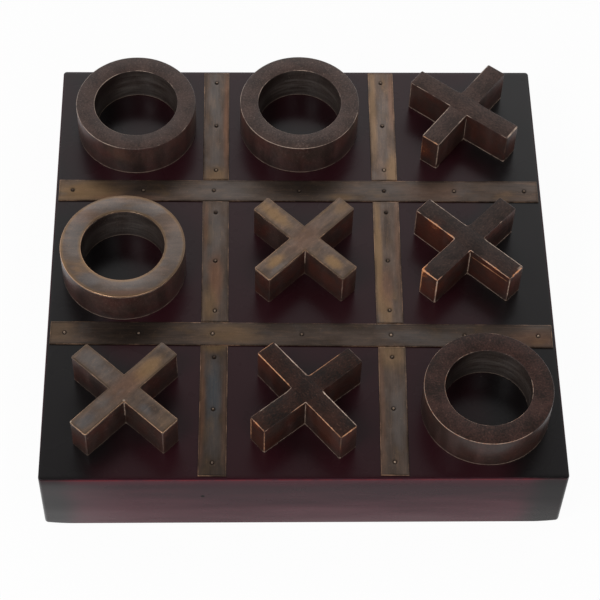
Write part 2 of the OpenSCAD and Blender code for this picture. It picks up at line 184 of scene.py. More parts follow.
class Bench:
    """The node tree of one material or world, to which expressions add their nodes."""

    def __init__(self, tree: bpy.types.NodeTree) -> None:
        """Clears the tree and takes it over."""
        tree.nodes.clear()
        self.tree = tree

    def node(
        self,
        kind: str,
        settings: dict[str, object] | None = None,
        sockets: dict[int | str, object] | None = None,
        out: int | str = 0,
    ) -> Value:
        """Adds one node.

        Args:
            kind: the node's type.
            settings: its properties, set first; stops are those of a colour ramp.
            sockets: for each input, a value to set or another node's output to link.
            out: which output is wanted.

        Returns:
            The wanted output.
        """
        made = self.tree.nodes.new(kind)
        for key, setting in (settings or {}).items():
            if key == "stops":
                self._set_stops(made.color_ramp, setting)
            else:
                setattr(made, key, setting)
        for key, given in (sockets or {}).items():
            if isinstance(given, Value):
                self.tree.links.new(given.socket, made.inputs[key])
            else:
                made.inputs[key].default_value = given
        return Value(self, made.outputs[out] if len(made.outputs) else None)

    def _set_stops(self, ramp: bpy.types.ColorRamp, stops: Sequence[tuple[float, Colour]]) -> None:
        """Gives a colour ramp its stops.

        Args:
            ramp: the ramp.
            stops: a position and a colour for each stop.
        """
        while len(ramp.elements) < len(stops):
            ramp.elements.new(1.0)
        for element, (position, colour) in zip(ramp.elements, stops):
            element.position = position
            element.color = colour

    def place(self) -> Value:
        """Where on its own piece a point lies, in metres."""
        return self.node("ShaderNodeAttribute", {"attribute_name": PLACE}, out="Vector")

    def parts(self, vector: Value) -> tuple[Value, Value, Value]:
        """The three parts of a vector."""
        split = self.node("ShaderNodeSeparateXYZ", sockets={0: vector}).socket.node
        return tuple(Value(self, socket) for socket in split.outputs)

    def vector(self, x: Value | float, y: Value | float, z: Value | float) -> Value:
        """A vector of three values."""
        return self.node("ShaderNodeCombineXYZ", sockets={0: x, 1: y, 2: z})

    def reshape(self, vector: Value, stretch: Sequence[float], shift: Sequence[float] = (0, 0, 0)) -> Value:
        """A vector whose parts are each multiplied by a stretch, and then shifted."""
        settings = {"operation": "MULTIPLY_ADD"}
        return self.node("ShaderNodeVectorMath", settings, {0: vector, 1: stretch, 2: shift})

    def blend(self, mask: Value | float, plain: Value | Colour, masked: Value | Colour) -> Value:
        """The plain colour where the mask is 0, and the masked one where it is 1."""
        return self.node("ShaderNodeMix", {"data_type": "RGBA"}, {0: mask, 6: plain, 7: masked}, out=2)

    def layered(self, tone: Value | Colour, *layers: tuple[Value | float, Value | Colour]) -> Value:
        """Lays other colours over a tone.

        Args:
            tone: the colour under all the layers.
            layers: a mask and a colour for each, from the lowest up.

        Returns:
            The layered colour.
        """
        for mask, colour in layers:
            tone = self.blend(mask, tone, colour)
        return tone

    def length(self, vector: Value) -> Value:
        """How long a vector is."""
        return self.node("ShaderNodeVectorMath", {"operation": "LENGTH"}, {0: vector}, out=1)

    def dot(self, vector: Value, other: Vector) -> Value:
        """The dot product of a vector and a fixed one."""
        return self.node("ShaderNodeVectorMath", {"operation": "DOT_PRODUCT"}, {0: vector, 1: other}, out=1)

    def cross(self, vector: Value, other: Vector) -> Value:
        """The cross product of a vector and a fixed one."""
        return self.node("ShaderNodeVectorMath", {"operation": "CROSS_PRODUCT"}, {0: vector, 1: other})

    def apart(self, place: Value, point: Sequence[float]) -> Value:
        """How far a place is from a fixed point."""
        return self.node("ShaderNodeVectorMath", {"operation": "DISTANCE"}, {0: place, 1: point}, out=1)

    def clouds(self, vector: Value, pitch: float, detail: float = 2.0, roughness: float = 0.5) -> Value:
        """Soft noise about 0.5, of a pitch in metres, with finer layers to a number and a strength."""
        sockets = {"Vector": vector, "Scale": 1 / pitch, "Detail": detail, "Roughness": roughness}
        return self.node("ShaderNodeTexNoise", sockets=sockets)

    def bump(self, height: Value, depth: float, strength: float = 1.0) -> Value:
        """The normal over a relief whose full height of 1 is the given depth in metres."""
        sockets = {"Height": height, "Distance": depth, "Strength": strength}
        return self.node("ShaderNodeBump", sockets=sockets)

    def surface(self, **sockets: object) -> None:
        """Closes the material with a Principled shader.

        Args:
            sockets: what each input gets, named in lower case with _ for a space.
        """
        names = {key: key.replace("_", " ").title().replace("Ior", "IOR") for key in sockets}
        shader = self.node("ShaderNodeBsdfPrincipled", sockets={names[key]: sockets[key] for key in sockets})
        self.node("ShaderNodeOutputMaterial", sockets={"Surface": shader})


def new_finish(name: str) -> tuple[bpy.types.Material, Bench]:
    """Starts a material.

    Args:
        name: the material's name.

    Returns:
        The material and the bench.
    """
    material = bpy.data.materials.new(name)
    material.use_nodes = True
    return material, Bench(material.node_tree)


class Tone(Enum):
    """The tones that heat and handling leave on the brown metal, and a near-white painted glint; on the row
    strips the dark tone is partly painted shadow.
    """

    GOLDEN = shade(158, 126, 90)
    COPPER = shade(150, 104, 78)
    GREY = shade(122, 118, 116)
    STEEL = shade(108, 114, 120)
    DARK = shade(50, 43, 39)
    # Painted highlight: a near-white tone for glints.
    PALE = shade(236, 218, 200)


GOLDEN, COPPER, GREY, STEEL, DARK, PALE = Tone


@dataclass(frozen=True)
class Stain:
    """A patch of another tone, with its middle and reach on the piece in millimetres."""

    tone: Tone
    along: float
    across: float
    reach_along: float
    reach_across: float
    strength: float


@dataclass(frozen=True)
class Rub:
    """Wood that handling has brought out: its offset from the piece's foot and its reach, in millimetres."""

    x: float
    y: float
    z: float
    reach: float
    strength: float


class Arm(Enum):
    """The arms of a cross, each with its direction in degrees where the cross isn't turned."""

    BACK_RIGHT = 45
    BACK_LEFT = 135
    FRONT_LEFT = 225
    FRONT_RIGHT = 315


class Shown(Enum):
    """What a stretch of an arm shows: paint that was never rubbed, bare wood, a face darkened as painted
    shade, or a face made lighter and redder, partly painted light and partly redder paint.
    """

    PAINT = shade(50, 38, 34)
    STRAW = shade(204, 180, 162)
    GLOW = shade(220, 160, 118)
    # Painted shade: a near-black laid over whole faces.
    SOOT = shade(24, 16, 15)
    # Partly painted light: a lighter, redder tone laid over whole faces turned to the lamps, partly redder
    # paint.
    RUSSET = shade(84, 44, 34)


PAINT, STRAW, GLOW, SOOT, RUSSET = Shown


@dataclass(frozen=True)
class Stretch:
    """A stretch of an arm, each end given as its distance out, to the arm's left and up, in millimetres."""

    shown: Shown
    start: tuple[float, float, float]
    end: tuple[float, float, float]
    width: float
    strength: float

    def on(self, turn: Matrix) -> "Stretch":
        """The stretch with its ends turned from the arm's places to the bar's."""
        return replace(self, start=tuple(turn @ Vector(self.start)), end=tuple(turn @ Vector(self.end)))


StretchRow = tuple[Shown, tuple[float, float, float], tuple[float, float, float], float, float]


@dataclass(frozen=True)
class Lacquer:
    """Burgundy lacquer, black towards the sides and rubbed to crimson along the upper edges, with painted
    shade at the middle of each square and painted floor light on the lower flanks.
    """

    half_side: float
    face_z: float
    height: float
    square: float
    pin: Vector
    burgundy: Colour = shade(42, 12, 19)
    black: Colour = shade(11, 10, 11)
    wine: Colour = shade(46, 13, 24)
    rose: Colour = shade(74, 25, 38)
    crimson: Colour = shade(100, 16, 28)
    dust: Colour = shade(128, 116, 114)
    filler: Colour = shade(14, 10, 10)
    face_reach: float = 68 * MM
    flank_reach: float = 40 * MM
    pin_reach: tuple[float, float] = (1 * MM, 1.6 * MM)
    arris: tuple[float, float] = (0.5 * MM, 1.2 * MM)
    roughness: float = 0.28

    def material(self) -> bpy.types.Material:
        """Lays the lacquer's nodes.

        Returns:
            The material.
        """
        material, bench = new_finish("burgundy_lacquer")
        place = bench.place()
        x, y, z = bench.parts(place)
        from_side = self.half_side - abs(x)
        from_front = self.half_side - abs(y)
        on_flank = from_side.least(from_front).fall(*self.arris)
        on_side = from_side.fall(*self.arris)
        depth = self.face_z - z
        mottle = bench.clouds(place, 70 * MM, 3)
        streaks = bench.clouds(bench.reshape(place, (0.1, 0.1, 1)), 6 * MM, 4)
        drifts = bench.clouds(bench.reshape(place, (0.14, 0.14, 1)), 13 * MM, 3)
        nibbled = bench.clouds(place, 7 * MM, 3)

        # Painted light: the flanks turn from wine to a lighter rose towards the bottom, standing in for the
        # light thrown up by the bright floor.
        down = depth.rise(0.1 * self.height, self.height) * on_flank
        flank = bench.blend(down + 1.6 * (drifts - 0.5), self.wine, self.rose)
        reach = self.face_reach + on_flank * (self.flank_reach - self.face_reach)
        ends = (from_side + on_side * from_front).fall(0.2 * reach, reach)
        # Painted shade: the lacquer is darkened towards the middle of each square, where the pieces stand and
        # their shade falls.
        off_middle = (x.folded(self.square) ** 2 + y.folded(self.square) ** 2) ** 0.5
        painted_square_shade = off_middle.fall(24 * MM, 50 * MM) * (1 - on_flank)
        back_left = x.fall(-120 * MM, -90 * MM) * y.rise(0, 60 * MM)
        ends = ends * (0.9 - 0.25 * on_flank - 0.45 * back_left)
        # The black towards the sides is the lacquer's own; the share from the middle of each square is
        # painted shade.
        black_and_shade = (ends + painted_square_shade * 0.36 + (mottle - 0.5) * 0.9).rise(0.1, 0.75)
        shallow = depth.rise(0.3 * MM, 0.9 * MM) * on_flank * (1 - 0.9 * black_and_shade)
        rubbed = shallow * depth.fall(1.3 * MM, 2.6 * MM) * nibbled.rise(0.25, 0.6)
        filled = self._over_pin(bench, place) * y.fall(1 * MM - self.half_side, 2 * MM - self.half_side)
        body = bench.layered(
            bench.blend(on_flank, self.burgundy, flank),
            (black_and_shade * 0.94, self.black),
            (shallow * depth.fall(2 * MM, 6 * MM + 6 * MM * nibbled) * 0.8, self.rose),
            (rubbed, self.crimson),
            (self._specks(bench, place) * 0.7, self.dust),
            (filled, self.filler),
        )

        orange_peel = bench.clouds(place, 2.5 * MM, 2)
        haze = bench.clouds(place, 40 * MM, 4)
        left = x.fall(-self.half_side, 70 * MM - self.half_side) * depth.rise(1 * MM, 10 * MM)
        polished = down * (0.1 + 0.5 * (drifts - 0.5)) + 0.32 * left * on_flank
        bench.surface(
            base_color=body,
            ior=1.22,
            coat_weight=((0.8 + 0.1 * black_and_shade) * (1 - on_flank) + polished) * (1 - filled),
            coat_roughness=self.roughness,
            roughness=self.roughness + 0.1 * (haze - 0.5) + 0.06 * (streaks - 0.5) + 0.3 * filled,
            normal=bench.bump(orange_peel + 0.4 * streaks - 3 * filled, 0.02 * MM, 0.5),
        )
        return material

    def _specks(self, bench: Bench, place: Value) -> Value:
        """A few specks of dust that dried into the lacquer.

        Args:
            bench: the bench in use.
            place: where on the case.

        Returns:
            1 in a speck and 0 clear of them.
        """
        cell = {"Vector": place, "Scale": 1 / (16 * MM)}
        apart = bench.node("ShaderNodeTexVoronoi", sockets=cell)
        chosen = bench.parts(bench.node("ShaderNodeTexVoronoi", sockets=cell, out="Color"))[0]
        return apart.fall(0.01, 0.024) * chosen.rise(0.62, 0.66)

    def _over_pin(self, bench: Bench, place: Value) -> Value:
        """The filled hole over a pin in the front rail, whatever the depth in the wood."""
        offset = bench.reshape(place, (1, 0, 1), (-self.pin.x, 0, -self.pin.z))
        return bench.length(offset).fall(*self.pin_reach)


@dataclass(frozen=True)
class BrownedMetal:
    """Brushed sheet metal with a brown patina, barer along its edges, its sides under the upper face painted
    dark as painted shade.

    Each piece of metal fills in the fields from its name on.
    """

    lightness: float = 1.0
    stains: tuple[Stain, ...] = ()
    brushed: tuple[float, float, float] = (0.03, 1, 1)
    gilt: float = 0.0
    umber: Colour = shade(116, 101, 92)
    sepia: Colour = shade(92, 79, 71)
    bright: Colour = shade(204, 162, 130)
    roughness: float = 0.4
    name: str = "browned_metal"
    seed: float = 0.0
    worn_side: Vector = Vector((0, 0, 0))

    def material(self, edge: Measure, top_z: float, dirt: Measure | None = None) -> bpy.types.Material:
        """Lays the metal's nodes.

        Args:
            edge: gives a place's distance from the piece's nearest edge, in metres.
            top_z: height of the upper face on the piece, in metres.
            dirt: gives 1 in the dirt round a nail and 0 clear of it.

        Returns:
            The material.
        """
        material, bench = new_finish(self.name)
        place = bench.place()
        x, y, z = bench.parts(place)
        at = bench.reshape(place, (1, 1, 1), (self.seed, 1.3 * self.seed, 0))
        brush = bench.clouds(bench.reshape(at, self.brushed), 0.6 * MM, 4, 0.65)
        smear = bench.clouds(bench.reshape(at, (0.3, 1, 1)), 7 * MM, 4, 0.6)
        mottle = bench.clouds(at, 22 * MM, 3, 0.5)
        specks = bench.clouds(at, 1.6 * MM, 5, 0.75)

        rubs = bench.clouds(bench.reshape(at, (0.25, 1, 1)), 4 * MM, 4, 0.65)
        dark, bright = self._lit(DARK.value), self._lit(self.bright)
        stained = []
        for stain in self.stains:
            stained.append((self._reach(bench, place, stain, smear), self._lit(stain.tone.value)))
        tone = bench.layered(
            self._lit(self.umber),
            ((smear + 0.5 * (mottle - 0.5)).rise(0.3, 0.7) * 0.7, self._lit(self.sepia)),
            ((mottle + 0.6 * (smear - 0.5)).rise(0.55, 0.85) * 0.4, self._lit(GOLDEN.value)),
            ((mottle - 0.6 * (smear - 0.5)).fall(0.2, 0.45) * 0.45, self._lit(GREY.value)),
            *stained,
            (brush.rise(0.5, 0.85) * 0.22, bright),
            (brush.fall(0.15, 0.5) * 0.26, dark),
            (specks.rise(0.58, 0.74) * 0.3, bright),
            (specks.fall(0.26, 0.42) * 0.35, DARK.value),
            (rubs.rise(0.5, 0.72) * 0.12, bright),
            (rubs.fall(0.3, 0.48) * 0.16, dark),
        )

        lean = bench.dot(place, self.worn_side)
        patchy = (bench.clouds(at, 14 * MM, 2) + lean + 0.6 * (specks - 0.5)).rise(0.42, 0.72)
        from_edge = edge(x, y, z)
        gilded = from_edge.fall(0.8 * MM, 1 * MM + 3.5 * MM * rubs) * (0.5 + smear)
        grime = from_edge.fall(0.6 * MM, 1 * MM + 1.8 * MM * smear)
        worn = from_edge.fall(0.1 * MM, 0.35 * MM + 0.5 * MM * smear)
        # Painted shade: the narrow sides under the upper face are darkened, standing in for the dark shadow
        # line along the metal's edge.
        painted_side_shade = z.fall(top_z - 0.55 * MM, top_z - 0.3 * MM)
        tone = bench.layered(
            tone,
            (gilded * self.gilt, self._lit(GOLDEN.value)),
            (grime * (0.4 - 0.35 * patchy), dark),
            (worn * (0.1 + 0.8 * patchy), self.bright),
            (painted_side_shade * 0.75, DARK.value),
        )
        if dirt is not None:
            tone = bench.blend(dirt(x, y, z) * 0.6, tone, DARK.value)
        bench.surface(
            base_color=tone,
            metallic=0.92,
            roughness=self.roughness + 0.16 * (smear - 0.5) - 0.08 * worn,
            normal=bench.bump(brush + 0.7 * smear, 0.035 * MM, 0.6),
        )
        return material

    def _lit(self, colour: Colour) -> Colour:
        """The colour, lighter or darker for this piece."""
        return (*(min(part * self.lightness, 1.0) for part in colour[:3]), 1.0)

    def _reach(self, bench: Bench, place: Value, stain: Stain, smear: Value) -> Value:
        """How much of a stain shows at a place.

        Args:
            bench: the bench in use.
            place: where on the piece.
            stain: the stain.
            smear: noise that breaks up the stain's border.

        Returns:
            The stain's share of the colour.
        """
        stretch = (1 / (stain.reach_along * MM), 1 / (stain.reach_across * MM), 0)
        shift = (-stain.along / stain.reach_along, -stain.across / stain.reach_across, 0)
        away = bench.length(bench.reshape(place, stretch, shift))
        return (away + 1.1 * (smear - 0.5)).fall(0.3, 1.2) * stain.strength


class Wear(Enum):
    """How far the paint of a wooden piece is rubbed from its edges."""

    LIGHT = 0.35
    USED = 0.65
    HEAVY = 1.0


@dataclass(frozen=True)
class RubbedPaint:
    """Dark brown paint on wood, redder on the flanks, rubbed through along the edges, with upright stripes of
    painted sheen on the flanks and painted shade inside a ring's hole.

    Each piece of wood fills in the fields from its name on.
    """

    wear: Wear = Wear.USED
    grain: tuple[float, float, float] = (0.6, 1, 1)
    depth: float = 1.0
    cocoa: Colour = shade(76, 58, 52)
    umber: Colour = shade(50, 38, 34)
    soot: Colour = shade(30, 22, 20)
    flank_tone: Colour = shade(63, 36, 29)
    russet: Colour = shade(70, 31, 23)
    painted_sheen: Colour = shade(98, 74, 70)
    smoke: Colour = shade(92, 84, 79)
    copper: Colour = shade(196, 124, 84)
    ember: Colour = shade(112, 50, 26)
    glow: Colour = shade(244, 158, 92)
    straw: Colour = shade(204, 180, 162)
    sheen_strength: float = 0.6
    hem: float = 0.75
    pale: float = 0.4
    redness: float = 0.4
    flecks: float = 0.35
    rubs: tuple[Rub, ...] = ()
    roughness: float = 0.42
    ior: float = 1.42
    name: str = "rubbed_paint"
    seed: float = 0.0
    height: float = 0.0
    turn: float = 0.0
    worn_side: Vector = Vector((0, 0, 0))
    stretches: tuple[Stretch, ...] = ()

    def material(
        self, edge: Measure, grained: Measure | None = None, outside: Measure | None = None
    ) -> bpy.types.Material:
        """Lays the paint's nodes.

        Args:
            edge: gives a place's distance from the piece's nearest edge, in metres.
            grained: turns a place into the space that the piece's grain runs in.
            outside: gives 1 on the outer part of the piece and 0 on its inner walls, which take a darker,
                greyer tone with painted shade.

        Returns:
            The material.
        """
        material, bench = new_finish(self.name)
        place = bench.place()
        at = bench.reshape(place, (1, 1, 1), (self.seed, 1.3 * self.seed, 0.7 * self.seed))
        x, y, z = bench.parts(place)
        along = grained(x, y, z) if grained else at
        grain = bench.clouds(bench.reshape(along, self.grain), 1.1 * MM, 4, 0.65)
        mottle = bench.clouds(at, 14 * MM, 3, 0.5)
        nibble = bench.clouds(at, 2.4 * MM, 4, 0.65)
        flank = z.fall(self.height - 0.7 * MM, self.height - 0.1 * MM)
        sheen_stripes = bench.clouds(bench.reshape(at, (1, 1, 0.15)), 10 * MM, 3, 0.5)

        shadow = (grain + 0.7 * (mottle - 0.5)).rise(0.3, 0.7)
        tone = bench.blend(shadow, self._deep(self.umber), self._deep(self.cocoa))
        side = bench.layered(
            self.umber,
            ((grain + 0.8 * (mottle - 0.5)).rise(0.25, 0.75), self.flank_tone),
            ((mottle + 0.6 * (nibble - 0.5)).rise(0.4, 0.75) * self.redness, self.russet),
            # Painted sheen: soft upright stripes on the flanks, some darker and some in a lighter purple
            # brown, stand in for reflections of the lamps.
            (sheen_stripes.fall(0.36, 0.5) * 0.65 * self.sheen_strength, self.soot),
            (sheen_stripes.rise(0.53, 0.64) * 0.28 * self.sheen_strength, self.painted_sheen),
        )
        if outside is not None:
            # Painted shade: the inner walls of a ring are darkened towards the top and towards the left,
            # where the ring shades its own hole.
            painted_inner_shade = z.rise(11 * MM, 25 * MM) * 0.55 + x.fall(-0.9 * self.height, -0.1 * self.height) * 0.5
            streaks = bench.clouds(bench.reshape(at, (0.12, 0.12, 1)), 2.2 * MM, 3, 0.5)
            inside = bench.layered(
                self.umber,
                (streaks.rise(0.2, 0.8), self.smoke),
                ((painted_inner_shade + 0.5 * (mottle - 0.5)).rise(0, 1), self.soot),
            )
            side = bench.blend(outside(x, y, z), inside, side)
        speckle = bench.clouds(bench.reshape(along, self.grain), 1.3 * MM, 4, 0.75)
        flecked = speckle.rise(0.54, 0.72) * self.flecks * (0.4 + mottle) * (1 - 0.6 * flank)
        heat: Value | float = 0.0
        for rub in self.rubs:
            heat = self._reach(bench, place, rub, nibble + grain - 1).most(heat)
        tone = bench.layered(
            tone,
            (flank, side),
            (flecked, mixed(self.pale, self.copper, self.straw)),
            (speckle.fall(0.3, 0.46) * 0.55, self._deep(self.soot)),
            (heat * (0.15 + 0.4 * flank), self.ember),
            ((heat + 1.6 * (nibble - 0.5)).rise(0.6, 1.05) * (0.15 + 0.65 * flank), self.glow),
        )

        lean = bench.dot(place, self.worn_side)
        patchy = (bench.clouds(at, 11 * MM, 2) + 0.5 * (nibble - 0.5) + lean + 0.5 * heat).rise(0.36, 0.6)
        from_edge = edge(x, y, z)
        painted: Value | float = 0.0
        for stretch in self.stretches:
            if stretch.shown is PAINT:
                painted = self._along(bench, place, stretch, nibble - 0.5).most(painted)
        reach = (0.2 * MM + 0.5 * MM * nibble * patchy + 0.6 * MM * heat) * (0.5 + self.wear.value)
        rubbed = (from_edge / reach + 1.5 * (nibble - 0.5)).fall(0.35, 1.1)
        shown = rubbed * (0.25 + 0.75 * patchy) * (1 - painted)
        bare = bench.layered(
            self.copper,
            ((1.5 * self.pale - 0.25 + 2.5 * (nibble - 0.5)).rise(0, 1), self.straw),
            (nibble.fall(0.3, 0.55) * 0.4, self.russet),
            (heat * 0.9, self.glow),
        )
        foot = from_edge.fall(0.9 * MM, 1.7 * MM) * z.fall(1.7 * MM, 2.3 * MM) * z.rise(0.1 * MM, 0.3 * MM)
        hem = foot * (nibble + 0.4 * mottle).rise(0.45, 0.75) * (1 - painted)
        shown *= 0.4 + 0.6 * self.wear.value
        tone = bench.layered(tone, (shown, bare), (hem * self.hem, self.straw))
        broken = 0.4 + 0.6 * bench.clouds(at, 5 * MM, 2).rise(0.35, 0.6)
        ragged = 1.6 * (nibble - 0.5) + 0.5 * (grain - 0.5)
        for stretch in self.stretches:
            if stretch.shown is not PAINT:
                share = self._along(bench, place, stretch, ragged) * broken
                tone = bench.blend(share, tone, stretch.shown.value)
        bench.surface(
            base_color=tone,
            ior=self.ior,
            roughness=self.roughness + 0.2 * (mottle - 0.5) + 0.1 * rubbed,
            normal=bench.bump(grain + 0.6 * nibble - 0.8 * speckle, 0.1 * MM, 0.7),
        )
        return material

    def _reach(self, bench: Bench, place: Value, rub: Rub, ragged: Value) -> Value:
        """How much bare wood a rub shows at a place, its border broken up by noise about 0."""
        middle = Matrix.Rotation(-self.turn, 3, "Z") @ Vector((rub.x, rub.y, rub.z)) * MM
        return (bench.apart(place, middle) / (rub.reach * MM) + 1.6 * ragged).fall(0.3, 1.1) * rub.strength

    def _along(self, bench: Bench, place: Value, stretch: Stretch, ragged: Value) -> Value:
        """How much of a stretch shows at a place.

        Args:
            bench: the bench in use.
            place: where on the piece.
            stretch: the stretch, as this piece's own places have it.
            ragged: noise about 0 that breaks up its border.

        Returns:
            The stretch's share of the colour.
        """
        start, end = Vector(stretch.start) * MM, Vector(stretch.end) * MM
        length = (end - start).length
        way = (end - start) / length
        offset = bench.reshape(place, (1, 1, 1), -start)
        passed = bench.dot(offset, way)
        away = bench.length(bench.cross(offset, way))
        within = passed.rise(-0.5 * MM, 2 * MM) * passed.fall(length - 2 * MM, length + 0.5 * MM)
        return (away / (stretch.width * MM) + ragged).fall(0.5, 1.1) * within * stretch.strength

    def _deep(self, colour: Colour) -> Colour:
        """The colour, darker where the paint lies thicker on the whole piece."""
        return (*(part * self.depth for part in colour[:3]), 1.0)


@dataclass(frozen=True)
class BrownedNail:
    """Nail heads with dirt at the rim and a little shine on the crown."""

    radius: float

    def material(self) -> bpy.types.Material:
        """Lays the nails' nodes.

        Returns:
            The material.
        """
        material, bench = new_finish("browned_nail")
        place = bench.place()
        x, y, _ = bench.parts(place)
        crown = ((x * x + y * y) ** 0.5).fall(0.2 * self.radius, 0.85 * self.radius)
        mottle = bench.clouds(place, 1.1 * MM, 3)
        handled = bench.clouds(bench.node("ShaderNodeTexCoord", out="Object"), 34 * MM, 2).rise(0.35, 0.65)
        bright = bench.blend(handled, shade(84, 68, 58), shade(214, 186, 162))
        tone = bench.blend(crown * mottle.rise(0.2, 0.6), shade(36, 28, 24), bright)
        relief = bench.bump(mottle, 0.05 * MM)
        bench.surface(base_color=tone, metallic=0.9, roughness=0.5 - 0.1 * crown, normal=relief)
        return material


@dataclass(frozen=True)
class BareWood:
    """Planed, unpainted wood for what the case hides."""

    name: str = "bare_wood"
    early: Colour = shade(176, 142, 104)
    late: Colour = shade(132, 96, 64)

    def material(self) -> bpy.types.Material:
        """Lays the wood's nodes.

        Returns:
            The material.
        """
        material, bench = new_finish(self.name)
        place = bench.node("ShaderNodeTexCoord", out="Object")
        rings = bench.clouds(bench.reshape(place, (0.06, 1, 1)), 7 * MM, 4, 0.6)
        pores = bench.clouds(bench.reshape(place, (0.1, 1, 1)), 0.8 * MM, 3, 0.6)
        late = self.late
        tone = bench.layered(self.early, (rings.rise(0.35, 0.65), late), (pores.fall(0.2, 0.42) * 0.5, late))
        relief = bench.bump(pores + rings, 0.06 * MM)
        bench.surface(base_color=tone, roughness=0.62 + 0.1 * pores, normal=relief)
        return material


@dataclass(frozen=True)
class ZincSteel:
    """Bright plated steel for screws and pins."""

    def material(self) -> bpy.types.Material:
        """Lays the steel's nodes.

        Returns:
            The material.
        """
        material, bench = new_finish("zinc_steel")
        place = bench.node("ShaderNodeTexCoord", out="Object")
        haze = bench.clouds(place, 1.2 * MM, 3)
        tone = bench.blend(haze, shade(150, 150, 148), shade(186, 186, 188))
        relief = bench.bump(haze, 0.01 * MM)
        bench.surface(base_color=tone, metallic=1.0, roughness=0.3 + 0.2 * haze, normal=relief)
        return material


@dataclass(frozen=True)
class BlackFelt:
    """Pressed black felt with loose fibres."""

    def material(self) -> bpy.types.Material:
        """Lays the felt's nodes.

        Returns:
            The material.
        """
        material, bench = new_finish("black_felt")
        place = bench.place()
        fibres = bench.clouds(place, 0.35 * MM, 4, 0.7)
        tone = bench.blend(fibres.rise(0.3, 0.75), shade(26, 26, 28), shade(66, 64, 66))
        relief = bench.bump(fibres, 0.12 * MM)
        bench.surface(base_color=tone, roughness=0.95, sheen_weight=0.35, normal=relief)
        return material


@dataclass(frozen=True)
class Seat:
    """Where a piece stands and how far it is turned, which carries its own places into the frame."""

    foot: Vector
    turn: float = 0.0

    def __call__(self, place: Vector) -> Vector:
        """The point in the frame of a place on the piece."""
        return self.foot + Matrix.Rotation(self.turn, 3, "Z") @ place


@dataclass(frozen=True)
class StripSeat:
    """The four corners of a strip's underside, between which its own places are spread."""

    corners: tuple[Vector, Vector, Vector, Vector]
    length: float
    width: float

    def __call__(self, place: Vector) -> Vector:
        """Carries a place on the strip into the frame.

        Args:
            place: the place on the strip.

        Returns:
            The point.
        """
        u = place.x / self.length + 0.5
        v = place.y / self.width + 0.5
        low = self.corners[0].lerp(self.corners[1], u)
        high = self.corners[3].lerp(self.corners[2], u)
        return low.lerp(high, v) + Vector((0, 0, place.z))


class Skin:
    """Surfaces gathered as places on a piece, and turned into one mesh at the end."""

    SHARP = math.radians(38)
    JOIN = 0.002 * MM

    def __init__(self, seat: Callable[[Vector], Vector]) -> None:
        """Starts an empty skin.

        Args:
            seat: carries a place on the piece into the frame.
        """
        self.seat = seat
        self.places: list[Vector] = []
        self.points: list[Vector] = []
        self.faces: list[tuple[int, ...]] = []

    def wrap(
        self, rows: Sequence[Loop], joined: bool = False, seat: Callable[[Vector], Vector] | None = None
    ) -> None:
        """Adds the surface through rows of places, each row a closed loop.

        Args:
            rows: the loops, all with as many places.
            joined: whether the last row meets the first; the two ends are otherwise closed.
            seat: another seat for this surface, where the piece has several alike.
        """
        start, wide = len(self.places), len(rows[0])
        for row in rows:
            self.places.extend(row)
            self.points.extend((seat or self.seat)(place) for place in row)
        loops = [[start + row * wide + i for i in range(wide)] for row in range(len(rows))]
        for here, there in zip(loops, loops[1:] + loops[:1] if joined else loops[1:]):
            for i in range(wide):
                j = (i + 1) % wide
                self.faces.append((here[i], here[j], there[j], there[i]))
        if not joined:
            self.faces += [tuple(reversed(loops[0])), tuple(loops[-1])]

    def piece(self, name: str, nodes: Sequence[str], material: bpy.types.Material) -> bpy.types.Object:
        """Makes the mesh and lets it stand for its nodes.

        Args:
            name: the piece's name.
            nodes: the nodes that it replaces, all on one body.
            material: its finish.

        Returns:
            The finished piece.
        """
        mesh = bpy.data.meshes.new(name)
        mesh.from_pydata(self.points, [], self.faces)
        kept = mesh.attributes.new(PLACE, "FLOAT_VECTOR", "POINT")
        kept.data.foreach_set("vector", np.array(self.places, np.float32).ravel())
        shell = bmesh.new()
        shell.from_mesh(mesh)
        bmesh.ops.remove_doubles(shell, verts=shell.verts, dist=self.JOIN)
        bmesh.ops.recalc_face_normals(shell, faces=shell.faces)
        shell.to_mesh(mesh)
        shell.free()
        mesh.shade_smooth()
        mesh.set_sharp_from_angle(angle=self.SHARP)
        mesh.materials.append(material)
        made = bpy.data.objects.new(name, mesh)
        bpy.context.scene.collection.objects.link(made)
        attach(made, BODY_OF[nodes[0]])
        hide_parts(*nodes)
        log.info("%s: %d faces, for %s", name, len(mesh.polygons), ", ".join(nodes))
        return made


def corners_of(node: str) -> np.ndarray:
    """All corners of a node's solid, in metres."""
    return np.array([v.co for v in frame["nodes"][node].data.vertices], float)


def dress(nodes: Sequence[str], material: bpy.types.Material) -> None:
    """Gives nodes that are shown as they are their finish.

    Args:
        nodes: the nodes.
        material: their finish.
    """
    for node in nodes:
        shown = frame["nodes"][node]
        shown.data.materials.clear()
        shown.data.materials.append(material)
        log.info("%s: dressed with %s", node, material.name)


